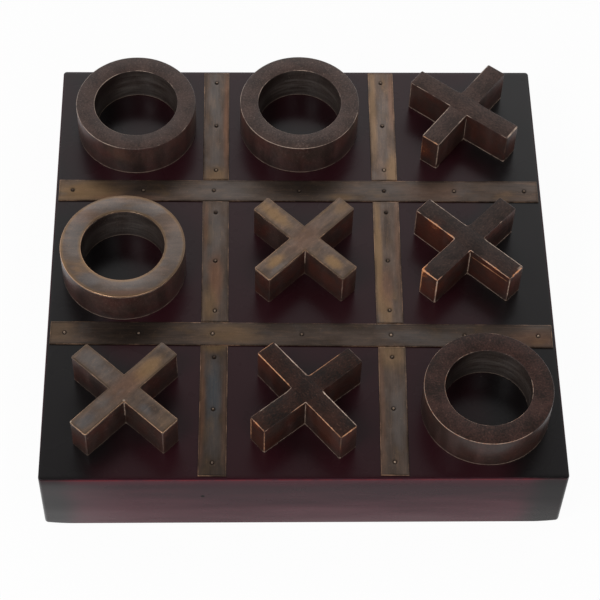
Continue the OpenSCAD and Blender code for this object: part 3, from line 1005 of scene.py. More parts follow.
@dataclass
class Case:
    """The lacquered box: the top panel and its four mitred rails."""

    half: float
    top_z: float
    seam_z: float
    under_z: float
    rail_width: float
    corner_r: float = 2.5 * MM
    edge_r: float = 1 * MM
    under_r: float = 1.2 * MM
    foot_r: float = 3.6 * MM
    foot_reach: float = 18 * MM
    least_r: float = 0.4 * MM
    pin_d: float = 1.8 * MM
    face_insets: tuple[float, ...] = (3.2 * MM, 12 * MM, 60 * MM, 120 * MM)
    corner_steps: int = 12
    foot_steps: int = 6

    @classmethod
    def from_frame(cls) -> "Case":
        """Takes the case's sizes from its nodes.

        Returns:
            The case.
        """
        low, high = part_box("top_panel")
        rail_low, rail_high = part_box("front_rail")
        return cls(high.x, high.z, low.z, rail_low.z, rail_high.y - rail_low.y)

    def build(self) -> None:
        """Makes the five lacquered pieces."""
        low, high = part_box("rib_pins")
        pin = Vector((low.x + self.pin_d / 2, -self.half, (low.z + high.z) / 2))
        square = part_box("row_strip_back")[1].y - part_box("row_strip_front")[1].y
        finish = Lacquer(self.half, self.top_z, self.top_z - self.under_z, square, pin).material()
        self._top_panel(finish)
        for quarter, side in enumerate(("front", "right", "back", "left")):
            self._rail(side, quarter, finish)

    def _rounded_square(self, inset: float, z: float) -> Loop:
        """Draws a level outline of the case.

        Args:
            inset: how far inside its faces the outline lies.
            z: its height.

        Returns:
            The outline.
        """
        radius = max(self.corner_r - inset, self.least_r)
        middle = self.half - inset - radius
        loop = []
        for quarter in range(4):
            turn = Matrix.Rotation(quarter * math.pi / 2, 3, "Z")
            for x, y in arc(radius, 0, 90, self.corner_steps):
                loop.append(turn @ Vector((middle + x, middle + y, z)))
        return loop

    def _top_panel(self, finish: bpy.types.Material) -> None:
        """Makes the top panel, rounded over along its upper edges.

        Args:
            finish: the lacquer.
        """
        skin = Skin(Seat(Vector()))
        rows = [self._rounded_square(0, self.seam_z)]
        for x, z in arc(self.edge_r, 0, 90, 8):
            rows.append(self._rounded_square(self.edge_r - x, self.top_z - self.edge_r + z))
        for inset in self.face_insets:
            rows.append(self._rounded_square(inset, self.top_z))
        skin.wrap(rows)
        skin.piece("top_panel_lacquered", ["top_panel"], finish)

    def _rail(self, side: str, quarter: int, finish: bpy.types.Material) -> None:
        """Makes one rail.

        Args:
            side: the side of the case that it closes.
            quarter: quarter turns from the front side to that side.
            finish: the lacquer.
        """
        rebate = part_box("base_panel")[1]
        rebate_in = self.half - rebate.x
        seam_z, width, steps = self.seam_z, self.rail_width, self.foot_steps
        straight = self.half - self.corner_r
        near_end = [1 - self.foot_reach * (1 - i / steps) / straight for i in range(steps + 1)]
        stations = [(0.2 * i, 0) for i in range(5)] + [(share, 0) for share in near_end]
        stations += [(1, 45 * i / self.corner_steps) for i in range(1, self.corner_steps + 1)]
        rows = []
        for end in (-1, 1):
            for share, angle in stations if end > 0 else reversed(stations[1:]):
                over = max(1 - (1 - share) * straight / self.foot_reach, 0)
                under_r = self.under_r + (self.foot_r - self.under_r) * over**2
                under = [(under_r - x, self.under_z + under_r - z) for x, z in arc(under_r, 0, 90, steps)]
                section = [
                    (0, seam_z), (0, 0.5 * (seam_z + self.under_z)), *under, (rebate_in, self.under_z),
                    (rebate_in, rebate.z), (width, rebate.z), (width, seam_z),
                ]
                rows.append([self._rail_place(end, share, angle, depth, z) for depth, z in section])
        turn = Matrix.Rotation(quarter * math.pi / 2, 3, "Z")
        skin = Skin(Seat(Vector()))
        skin.wrap([[turn @ place for place in row] for row in rows])
        skin.piece(f"{side}_rail_lacquered", [f"{side}_rail"], finish)

    def _rail_place(self, end: int, share: float, angle: float, depth: float, z: float) -> Vector:
        """A point of the front rail, a depth inside its outer face.

        Args:
            end: -1 for the left half and 1 for the right.
            share: how far along the straight part.
            angle: how far round the upright corner, in degrees.
            depth: distance inside the outer face.
            z: height.

        Returns:
            The point.
        """
        straight = self.half - self.corner_r
        radius = self.corner_r - depth
        around = math.radians(angle)
        if radius > 0:
            x, y = share * straight + radius * math.sin(around), straight + radius * math.cos(around)
        else:
            outer_x = share * straight + self.corner_r * math.sin(around)
            y = self.half - depth
            x = y * outer_x / (straight + self.corner_r * math.sin(math.radians(45)))
        return Vector((end * x, -y, z))


@dataclass
class Underside:
    """What lies inside and under the case: base, blocks, ribs, fastenings and felt pads."""

    pad_steps: int = 48
    pad_fuzz: float = 0.08 * MM
    pad_section: tuple[tuple[float, float], ...] = (
        (0.5 * MM, 0), (0.12 * MM, 0.25), (0, 0.5), (0.1 * MM, 0.8), (0.35 * MM, 1)
    )

    def build(self) -> None:
        """Dresses the inner pieces and cuts the felt pads."""
        inner = [node for node, slot in SLOT_OF.items() if slot == "inner_wood"]
        dress(inner, BareWood().material())
        dress([node for node, slot in SLOT_OF.items() if slot == "steel"], ZincSteel().material())
        self._felt_pads()

    def _felt_pads(self) -> None:
        """Makes the four felt pads, soft at the rim."""
        low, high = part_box("felt_pads")
        corner = corners_of("felt_pads")
        corner = corner[(corner[:, 0] > 0) & (corner[:, 1] > 0)]
        middle = (corner.min(0) + corner.max(0)) / 2
        radius = (corner.max(0) - corner.min(0))[0] / 2
        thick = high.z - low.z
        skin = Skin(Seat(Vector()))
        for sign_x in (-1, 1):
            for sign_y in (-1, 1):
                foot = Vector((sign_x * middle[0], sign_y * middle[1], low.z))
                rows = []
                for inset, z in self.pad_section:
                    row = []
                    for step in range(self.pad_steps):
                        fuzz = self.pad_fuzz * waver(Vector((step, sign_x, z)), 0.3, sign_y)
                        out = radius - max(inset - fuzz, 0)
                        row.append(spoke(step, self.pad_steps) * out + Vector((0, 0, z * thick)))
                    rows.append(row)
                skin.wrap(rows, seat=Seat(foot))
        skin.piece("felt_pads_cut", ["felt_pads"], BlackFelt().material())


@dataclass
class Strip:
    """One metal strip between the squares, with a shallow dent round each of its nails."""

    node: str
    metal: BrownedMetal
    seed: float
    edge_r: float = 0.35 * MM
    dent_r: float = 2.6 * MM
    dent_depth: float = 0.22 * MM
    dirt_r: float = 1.3 * MM
    swell: float = 0.05 * MM
    swell_pitch: float = 22 * MM
    coarse: float = 3 * MM
    fine: float = 0.8 * MM
    closest: float = 0.1 * MM
    arris: float = 0.12 * MM
    end_run: float = 1.2 * MM
    nails: list[Vector] = field(init=False, default_factory=list)

    def __post_init__(self) -> None:
        """Finds the strip's corners and size from its node."""
        solid = corners_of(self.node)
        self.foot_z = solid[:, 2].min()
        self.thick = solid[:, 2].max() - self.foot_z
        signs = [(-1, -1), (1, -1), (1, 1), (-1, 1)]
        if self.node.startswith("column"):
            signs = [(1, -1), (1, 1), (-1, 1), (-1, -1)]
        corners = []
        for x, y in signs:
            best = solid[np.argmax(solid[:, 0] * x + solid[:, 1] * y)]
            corners.append(Vector((best[0], best[1], self.foot_z)))
        self.length = (corners[1] - corners[0]).length
        self.width = (corners[3] - corners[0]).length
        self.seat = StripSeat(tuple(corners), self.length, self.width)
        self.middle = sum(corners, Vector()) / 4
        self.direction = (corners[1] - corners[0]).normalized()

    def build(self, nails: Sequence[Vector]) -> None:
        """Makes the strip.

        Args:
            nails: every nail's place in the frame.
        """
        for nail in nails:
            offset = nail - self.middle
            along, across = offset.dot(self.direction), self.direction.cross(offset).z
            if abs(along) < self.length / 2 and abs(across) < self.width / 2:
                self.nails.append(Vector((along, across, 0)))
        skin = Skin(self.seat)
        skin.wrap([self._section(x) for x in self._stations()])
        metal = replace(self.metal, name=f"brushed_{self.node}", seed=self.seed)
        finish = metal.material(self._edge, self.thick, self._dirt)
        skin.piece(f"{self.node}_brushed", [self.node], finish)

    def _stations(self) -> list[float]:
        """Spreads the sections along the strip, close together round its nails and at the ends.

        Returns:
            Distances from the strip's middle, in order.
        """
        half = self.length / 2
        stations = [half - inset for inset in (0, self.arris, self.edge_r, self.end_run)]
        stations += [-x for x in stations]
        stations += [i * self.coarse for i in range(-int(half / self.coarse), int(half / self.coarse) + 1)]
        for nail in self.nails:
            stations += [nail.x + i * self.fine for i in range(-4, 5)]
        kept: list[float] = []
        for x in sorted(x for x in stations if abs(x) <= half):
            if not kept or x - kept[-1] > self.closest:
                kept.append(x)
        return kept

    def _section(self, x: float) -> Loop:
        """Draws the strip's cut at one station.

        Args:
            x: distance along the strip.

        Returns:
            The outline.
        """
        half = self.width / 2
        steps = round(self.width / self.fine)
        edge = [half - inset for inset in (0, self.arris, self.edge_r)]
        across = [*edge, *(half * (1 - 2 * i / steps) for i in range(1, steps))]
        across += [-y for y in reversed(edge)]
        loop = [Vector((x, y, self._height(x, y))) for y in across]
        return loop + [Vector((x, -half, 0)), Vector((x, half, 0))]

    def _height(self, x: float, y: float) -> float:
        """Finds how high the upper face is, eased along its edges and dented round its nails.

        Args:
            x, y: where on the strip.

        Returns:
            The height over the underside.
        """
        from_edge = min(self.width / 2 - abs(y), self.length / 2 - abs(x))
        over = max(self.edge_r - from_edge, 0.0)
        height = self.thick - (self.edge_r - math.sqrt(self.edge_r**2 - over**2))
        height += self.swell * (waver(Vector((x, 2 * y, 0)), self.swell_pitch, self.seed) - 1)
        for nail in self.nails:
            away = math.hypot(x - nail.x, y - nail.y) / self.dent_r
            if away < 1:
                height -= self.dent_depth * (1 - away**2) ** 2
        return height

    def _edge(self, x: Value, y: Value, _: Value) -> Value:
        """Distance from the strip's nearest upper edge."""
        return (self.length / 2 - abs(x)).least(self.width / 2 - abs(y))

    def _dirt(self, x: Value, y: Value, _: Value) -> Value:
        """Lays the dirt that gathers in the dents round the nails.

        Args:
            x, y: the place along and across the strip.

        Returns:
            1 in the dirt and 0 clear of it.
        """
        nearest: Value | float = self.length
        for nail in self.nails:
            nearest = (((x - nail.x) ** 2 + (y - nail.y) ** 2) ** 0.5).least(nearest)
        return nearest.fall(self.dirt_r, 0.9 * self.dent_r)


@dataclass
class Nails:
    """The round-headed nails of the strips, each seated a little differently by hand."""

    head_r: float
    head_h: float
    places: list[Vector]
    shank_r: float = 0.65 * MM
    shank_l: float = 9 * MM
    point_l: float = 1.2 * MM
    around: int = 20
    seed: int = 11
    most_tilt: float = math.radians(7)
    most_sunk: float = 0.12 * MM
    most_off_round: float = 0.06

    HEAD = ((0.08, 1), (0.4, 0.9), (0.7, 0.66), (0.92, 0.34), (1, 0.08), (0.9, -0.1))

    @classmethod
    def from_frame(cls, strip_top: float, head_d: float = 2.8 * MM) -> "Nails":
        """Finds every nail from the crown of its head.

        Args:
            strip_top: height of the strips' upper faces.
            head_d: diameter of the heads.

        Returns:
            The nails.
        """
        solid = corners_of("strip_nails")
        crown = solid[:, 2].max()
        tops = solid[solid[:, 2] > crown - 0.001 * MM]
        places: list[Vector] = []
        for x, y, _ in tops:
            place = Vector((x, y, strip_top))
            if all((place - other).length > head_d / 2 for other in places):
                places.append(place)
        return cls(head_d / 2, crown - strip_top, places)

    def build(self, sink: float) -> None:
        """Makes all the nails as one piece.

        Args:
            sink: depth of the dents that the heads sit in.
        """
        shank_r, shank_l = self.shank_r, self.shank_l
        chance = random.Random(self.seed)
        profile = [(r * self.head_r, z * self.head_h) for r, z in self.HEAD]
        profile += [(shank_r, -0.12 * self.head_h), (shank_r, -shank_l)]
        profile.append((0.1 * shank_r, -shank_l - self.point_l))
        skin = Skin(Seat(Vector()))
        for place in self.places:
            tilt = Matrix.Rotation(chance.uniform(-self.most_tilt, self.most_tilt), 3, "X")
            lean = Matrix.Rotation(chance.uniform(-self.most_tilt, self.most_tilt), 3, "Y")
            foot = place + Vector((0, 0, -sink - chance.uniform(0, self.most_sunk)))
            wide = 1 + chance.uniform(-self.most_off_round, self.most_off_round)
            rows = [
                [spoke(step, self.around) * (r * wide) + Vector((0, 0, z)) for step in range(self.around)]
                for r, z in profile
            ]
            skin.wrap(rows, seat=lambda p, foot=foot, turn=tilt @ lean: foot + turn @ p)
        skin.piece("strip_nails_driven", ["strip_nails"], BrownedNail(self.head_r).material())


@dataclass
class StripGrid:
    """The eight strips that mark the squares, and their nails."""

    FINISHES = {
        # On the two row strips the dark patches just behind the pieces are partly the strips' own patina and
        # partly painted shadow of the pieces.
        "row_strip_back": BrownedMetal(1.0, each(
            Stain,
            (GOLDEN, -156, -1, 32, 12, 0.7), (DARK, -106, 4, 24, 7, 0.28), (COPPER, -128, -7, 26, 4, 0.4),
            (GREY, -54, 0, 30, 12, 0.5), (DARK, 2, 2, 30, 12, 0.4), (GOLDEN, 34, -6, 14, 4, 0.4),
            (GREY, 60, 0, 26, 10, 0.4), (COPPER, 100, 0, 26, 10, 0.2), (GREY, 160, 4, 20, 6, 0.3),
        )),
        "row_strip_front": BrownedMetal(0.86, each(
            Stain,
            (GOLDEN, -170, 2, 16, 12, 0.3), (DARK, -124, 0, 28, 14, 0.6), (DARK, -82, -4, 16, 6, 0.3),
            (GOLDEN, -50, 0, 26, 9, 0.45), (DARK, -8, 6, 26, 6, 0.3), (DARK, 6, -7, 20, 4, 0.3),
            (DARK, 40, 7, 30, 5, 0.35), (GREY, 84, -2, 30, 8, 0.5), (DARK, 100, 6, 24, 5, 0.3),
            (DARK, 134, 4, 22, 8, 0.3), (COPPER, 162, -3, 26, 8, 0.3),
        )),
        "column_strip_left_back": BrownedMetal(1.03, each(
            Stain,
            (GOLDEN, -50, 0, 14, 12, 0.5), (GREY, 24, 1, 40, 6, 0.6), (COPPER, 0, -8, 60, 3, 0.5),
            (GREY, -28, 0, 12, 5, 0.4),
        )),
        "column_strip_left_middle": BrownedMetal(0.98, each(
            Stain,
            (COPPER, -14, 0, 26, 6, 0.5), (GOLDEN, -38, 4, 20, 6, 0.5), (GREY, 26, 0, 24, 7, 0.5),
            (DARK, -16, -8, 30, 3, 0.35), (COPPER, 30, 7, 30, 2.5, 0.3),
        )),
        "column_strip_left_front": BrownedMetal(0.68, each(
            Stain,
            (STEEL, 14, 0, 32, 6, 0.75), (DARK, -46, 0, 18, 10, 0.3), (GREY, -20, 0, 24, 6, 0.4),
            (COPPER, 6, 8, 60, 3, 0.5), (GOLDEN, 52, 0, 8, 12, 0.7), (COPPER, 0, -8, 60, 2.5, 0.25),
        )),
        "column_strip_right_back": BrownedMetal(1.5, each(
            Stain,
            (GOLDEN, 16, 7, 60, 4, 0.4), (GOLDEN, -44, -6, 24, 6, 0.5), (COPPER, 30, -8, 36, 3, 0.3),
            (GREY, 6, 0, 40, 5, 0.3),
        )),
        "column_strip_right_middle": BrownedMetal(1.32, each(
            Stain,
            (GOLDEN, 6, 7, 60, 4, 0.6), (DARK, 30, 0, 22, 3.5, 0.45), (GOLDEN, -44, 3, 18, 6, 0.5),
            (COPPER, -22, 1, 20, 6, 0.3), (COPPER, 10, -8, 50, 3, 0.25), (DARK, -20, -8, 24, 3, 0.3),
        )),
        "column_strip_right_front": BrownedMetal(1.08, each(
            Stain,
            (GOLDEN, 46, 0, 16, 12, 0.5), (GREY, -4, -3, 34, 6, 0.45), (DARK, -42, 2, 18, 8, 0.2),
            (COPPER, 0, 8, 60, 3, 0.3),
        )),
    }

    def build(self) -> None:
        """Makes the strips, and then the nails that hold them."""
        strips = [Strip(node, metal, 1.1 * i + 0.7) for i, (node, metal) in enumerate(self.FINISHES.items())]
        top = strips[0].foot_z + strips[0].thick
        nails = Nails.from_frame(top)
        for strip in strips:
            strip.build(nails.places)
        nails.build(strips[0].dent_depth)


@dataclass
class PlayingPiece:
    """What rings and crosses share: painted wood on a square, bare or with a metal sheet on top."""

    body: str
    seed: float
    worn_side: tuple[float, float]
    paint: RubbedPaint
    metal: BrownedMetal | None = None
    ease: float = 0.7 * MM
    sheet_foot_ease: float = 0.1 * MM
    sheet_ease: float = 0.4 * MM
    turn: float = field(init=False, default=0.0)
    reach: float = field(init=False, default=0.0)
    height: float = field(init=False, default=0.0)
    foot: Vector = field(init=False, default_factory=Vector)

    def _cut_sheet(self, skin: Skin, thick: float) -> None:
        """Cuts the sheet, in the outline that each kind of piece has of its own."""
        raise NotImplementedError

    def _rim(self, x: Value, y: Value, z: Value) -> Value:
        """Distance from the sheet's nearest rim, which each kind of piece measures its own way."""
        raise NotImplementedError

    def _worn(self, turn: float) -> Vector:
        """The side that is worn most, as a piece turned by that much sees it."""
        return Matrix.Rotation(-turn, 3, "Z") @ Vector((*self.worn_side, 0)) / self.reach

    def _painted(self, name: str, seed: float, turn: float) -> RubbedPaint:
        """The paint of a piece of wood that is turned by that much."""
        worn_side = self._worn(turn)
        return replace(self.paint, name=name, seed=seed, height=self.height, turn=turn, worn_side=worn_side)

    def _lay_sheet(self) -> None:
        """Lays the metal sheet on the wood, if there is one."""
        if self.metal is None:
            return
        low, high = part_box(f"{self.body}_sheet")
        thick = high.z - low.z
        skin = Skin(Seat(self.foot, self.turn))
        self._cut_sheet(skin, thick)
        worn_side = self._worn(self.turn)
        metal = replace(self.metal, name=f"browned_{self.body}", seed=self.seed, worn_side=worn_side)
        finish = metal.material(self._rim, self.height + thick)
        skin.piece(f"{self.body}_sheet_cut", [f"{self.body}_sheet"], finish)


@dataclass
class Ring(PlayingPiece):
    """A turned ring with hand-eased edges."""

    chatter: float = 0.3
    around: int = 144
    covered_ease: float = 0.12 * MM
    uneven_ease: float = 0.35
    hollow: float = 0.1 * MM

    def __post_init__(self) -> None:
        """Finds the ring's place and size from its node."""
        node = f"{self.body}_ring"
        low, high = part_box(node)
        self.foot = Vector(((low.x + high.x) / 2, (low.y + high.y) / 2, low.z))
        self.reach = (high.x - low.x) / 2
        flat = corners_of(node)[:, :2] - np.array(self.foot.xy)
        self.inner = float(np.hypot(*flat.T).min())
        self.height = high.z - low.z

    def build(self) -> None:
        """Makes the wooden ring and the sheet on it."""
        skin = Skin(Seat(self.foot))
        top_ease = self.covered_ease if self.metal else self.ease
        skin.wrap(self._rows(0.0, self.height, self.ease, top_ease), joined=True)
        paint = self._painted(f"rubbed_{self.body}", self.seed, 0.0)
        finish = paint.material(self._edge, self._turned, self._outside)
        skin.piece(f"{self.body}_ring_turned", [f"{self.body}_ring"], finish)
        self._lay_sheet()

    def _cut_sheet(self, skin: Skin, thick: float) -> None:
        """Cuts the sheet, as thick as that."""
        rows = self._rows(self.height, self.height + thick, self.sheet_foot_ease, self.sheet_ease)
        skin.wrap(rows, joined=True)

    def _rows(self, low: float, high: float, low_ease: float, high_ease: float) -> list[Loop]:
        """The ring's section at each step round it."""
        return [self._section(step, low, high, low_ease, high_ease) for step in range(self.around)]

    def _section(self, step: int, low: float, high: float, low_ease: float, high_ease: float) -> Loop:
        """The ring's section at one step.

        Args:
            step: which step round the ring.
            low, high: heights of the two flat faces.
            low_ease, high_ease: radii of the lower and upper edges.

        Returns:
            The section's outline.
        """
        way = spoke(step, self.around)
        corners = (
            (self.inner, low, low_ease, 180), (self.reach, low, low_ease, 270),
            (self.reach, high, high_ease, 0), (self.inner, high, high_ease, 90),
        )
        loop = []
        for number, (radius, z, ease, start) in enumerate(corners):
            rounding = ease * (1 + self.uneven_ease * waver(way, 0.5, self.seed + 3.1 * number))
            hollow = max(self.hollow * waver(way, 0.9, self.seed + number // 2), 0)
            out = 1 if radius == self.reach else -1
            up = 1 if z == high else -1
            middle_r = radius - out * (rounding + hollow)
            middle_z = z - up * rounding
            for x, y in arc(rounding, start, start + 90, 4):
                loop.append(way * (middle_r + x) + Vector((0, 0, middle_z + y)))
            if number == 1:
                loop.append(way * (self.reach - hollow) + Vector((0, 0, (low + high) / 2)))
        return loop

    def _edge(self, x: Value, y: Value, z: Value) -> Value:
        """Distance from the nearest of the ring's four edges."""
        return self._rim(x, y, z).most(0).most(z.least(self.height - z))

    def _rim(self, x: Value, y: Value, _: Value) -> Value:
        """Distance from the nearer rim, seen from above."""
        radius = (x * x + y * y) ** 0.5
        return (radius - self.inner).least(self.reach - radius)

    def _outside(self, x: Value, y: Value, _: Value) -> Value:
        """1 on the outer half of the ring and 0 on the inner."""
        return ((x * x + y * y) ** 0.5).rise(self.inner + 2 * MM, self.inner + 4 * MM)

    def _turned(self, x: Value, y: Value, z: Value) -> Value:
        """Finds the space in which the cutter's marks run from the ring's hole to its rim.

        Args:
            x, y, z: where on the ring.

        Returns:
            The place in that space.
        """
        radius = (x * x + y * y) ** 0.5
        middle = 0.5 * (self.inner + self.reach)
        round_x, round_y = x / radius * middle + self.seed, y / radius * middle
        return x.bench.vector(round_x, round_y, self.chatter * radius + 0.5 * z)


@dataclass
class Cross(PlayingPiece):
    """Two half-lapped bars with hand-eased edges."""

    end_ease: float = 1.2 * MM
    end_steps: int = 6
    arm_steps: int = 9
    flank_steps: int = 12
    least_ease: float = 0.03 * MM
    uneven_ease: float = 0.4
    ease_pitch: float = 11 * MM
    fade: float = 4 * MM
    hollow: float = 0.14 * MM
    hollow_pitch: float = 24 * MM
    edges_apart: float = 40 * MM
    sheet_hollow: float = 0.08 * MM
    sheet_pitch: float = 16 * MM
    sheet_inset: float = 2 * MM
    upper_seed: float = 3.3
    arms: dict[Arm, tuple[StretchRow, ...]] = field(default_factory=dict)

    def __post_init__(self) -> None:
        """Finds the cross's place, turn and size from its nodes."""
        lower = corners_of(f"{self.body}_lower_bar")
        self.foot = Vector((*((lower.min(0) + lower.max(0)) / 2)[:2], lower[:, 2].min()))
        flat = lower[:, :2] - np.array(self.foot.xy)
        _, spread = np.linalg.eigh(flat.T @ flat)
        along, across = spread[:, 1] * math.copysign(1, spread[0, 1]), spread[:, 0]
        self.turn = math.atan2(along[1], along[0])
        self.reach = float(np.abs(flat @ along).max())
        self.half_w = float(np.abs(flat @ across).max())
        self.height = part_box(f"{self.body}_upper_bar")[1].z - self.foot.z

    def build(self) -> None:
        """Makes both bars and the sheet on them."""
        self._bar("lower_bar", self.turn, self.seed, Arm.BACK_RIGHT)
        self._bar("upper_bar", self.turn + math.pi / 2, self.seed + self.upper_seed, Arm.BACK_LEFT)
        self._lay_sheet()

    def _bar(self, part: str, turn: float, seed: float, first: Arm) -> None:
        """Makes one bar.

        Args:
            part: the bar's name within the cross.
            turn: direction of the bar.
            seed: tells its paint from the other bar's.
            first: the arm that its own places run out along.
        """
        skin = Skin(Seat(self.foot, turn))
        skin.wrap(self._bar_rows(part == "lower_bar"))
        stretches: list[Stretch] = []
        for arm, rows in self.arms.items():
            back = Matrix.Rotation(math.radians(arm.value - first.value), 3, "Z")
            stretches += (Stretch(*row).on(back) for row in rows)
        paint = self._painted(f"rubbed_{self.body}_{part}", seed, turn)
        finish = replace(paint, stretches=tuple(stretches)).material(self._edge)
        skin.piece(f"{self.body}_{part}_sawn", [f"{self.body}_{part}"], finish)

    def _bar_rows(self, is_lower: bool) -> list[Loop]:
        """Cuts the bar from end to end, halved in height between the flanks of the other bar.

        Args:
            is_lower: whether it is notched from above.

        Returns:
            The outlines of its sections.
        """
        straight = self.reach - self.end_ease
        steps = self.arm_steps
        arm = [(self.half_w + (straight - self.half_w) * i / steps, 0.0) for i in range(steps)]
        round_off = reversed(arc(self.end_ease, 0, 90, self.end_steps))
        places = arm + [(straight + x, self.end_ease - y) for x, y in round_off]
        lap = self.height / 2
        rows = [self._section(-x, inset) for x, inset in reversed(places)]
        for x in (-self.half_w, self.half_w):
            rows.append([self._lapped(place, lap, is_lower) for place in self._section(x, 0.0)])
        return rows + [self._section(x, inset) for x, inset in places]

    def _lapped(self, place: Vector, lap: float, is_lower: bool) -> Vector:
        """A point of the full section, moved to the lap where it lies past it."""
        return Vector((place.x, place.y, min(place.z, lap) if is_lower else max(place.z, lap)))

    def _section(self, x: float, inset: float) -> Loop:
        """The outline of the bar's cut.

        Args:
            x: distance along the bar.
            inset: how far the outline has drawn in, near the ends.

        Returns:
            The outline.
        """
        out = min((abs(x) - self.half_w) / self.fade, 1.0)
        loop = []
        for number, (side, up) in enumerate(((1, 1), (1, -1), (-1, -1), (-1, 1))):
            here = Vector((x, self.edges_apart * side, self.edges_apart * up))
            plain_top = self.metal is not None and up > 0
            ease = self.sheet_foot_ease if plain_top else self.ease
            uneven = 1 + self.uneven_ease * waver(here, self.ease_pitch, self.seed)
            ease = max(ease * uneven * out, self.least_ease)
            hollow = self.hollow * (1 + waver(here, self.hollow_pitch, self.seed + 5)) * out
            y_mid = self.half_w - inset - hollow - ease
            z_mid = self.height - inset * (0 if plain_top else 1) - ease if up > 0 else inset + ease
            start = {(1, 1): 90, (1, -1): 0, (-1, -1): 270, (-1, 1): 180}[(side, up)]
            for y, z in arc(ease, start, start - 90, 4):
                loop.append(Vector((x, side * y_mid + y, z_mid + z)))
            if number in (0, 2):
                flank = side * (self.half_w - inset - hollow)
                loop.append(Vector((x, flank, self.height / 2)))
        return loop

    def _cut_sheet(self, skin: Skin, thick: float) -> None:
        """Cuts the sheet from its underside to its upper face.

        Args:
            skin: the skin that it goes to.
            thick: the sheet's thickness.
        """
        top, ease = self.height + thick, self.sheet_ease
        rows = [self._cross_outline(0, self.height), self._cross_outline(0, top - ease)]
        rows += [self._cross_outline(ease - x, top - ease + z) for x, z in arc(ease, 0, 90, 4)[1:]]
        skin.wrap([*rows, self._cross_outline(self.sheet_inset, top)])

    def _cross_outline(self, inset: float, z: float) -> Loop:
        """Draws a level outline of the whole cross, its flanks a little uneven.

        Args:
            inset: how far inside its edges the outline lies.
            z: its height.

        Returns:
            The outline.
        """
        far, near = self.reach - inset, self.half_w - inset
        round_off = self.end_ease
        corner = [(far - round_off + x, near - round_off + y) for x, y in arc(round_off, 0, 90, 4)]
        reach, steps = far - round_off, self.flank_steps
        flank = [(near + (reach - near) * i / steps, near) for i in range(steps - 1, -1, -1)]
        loop = []
        for quarter in range(4):
            turn = Matrix.Rotation(quarter * math.pi / 2, 3, "Z")
            for x, y in [*((x, -y) for x, y in reversed(corner)), (far, 0), *corner, *flank]:
                noisy = waver(turn @ Vector((x, y, 0)), self.sheet_pitch, self.seed + 9)
                uneven = self.sheet_hollow * (1 + noisy)
                y_in = y - math.copysign(uneven, y) if near < x < reach else y
                loop.append(turn @ Vector((x, y_in, z)))
        return loop

    def _edge(self, x: Value, y: Value, z: Value) -> Value:
        """Measures how far the bar's nearest edge is.

        Args:
            x, y, z: where on the bar.

        Returns:
            The second smallest of the distances from its three pairs of faces.
        """
        ends = (self.reach - abs(x)).most(0)
        flanks = (self.half_w - abs(y)).most(0)
        faces = z.least(self.height - z).most(0)
        second = ends.least(flanks).most(ends.most(flanks).least(faces))
        inner = abs(abs(x) - self.half_w).most(flanks)
        crossing = abs(x).fall(self.half_w - 0.6 * MM, self.half_w) * 20 * MM
        return (second + crossing).least(inner + 0.4 * MM)

    def _rim(self, x: Value, y: Value, _: Value) -> Value:
        """Distance from the sheet's nearest rim."""
        one = (self.reach - abs(x)).least(self.half_w - abs(y))
        return one.most((self.reach - abs(y)).least(self.half_w - abs(x)))


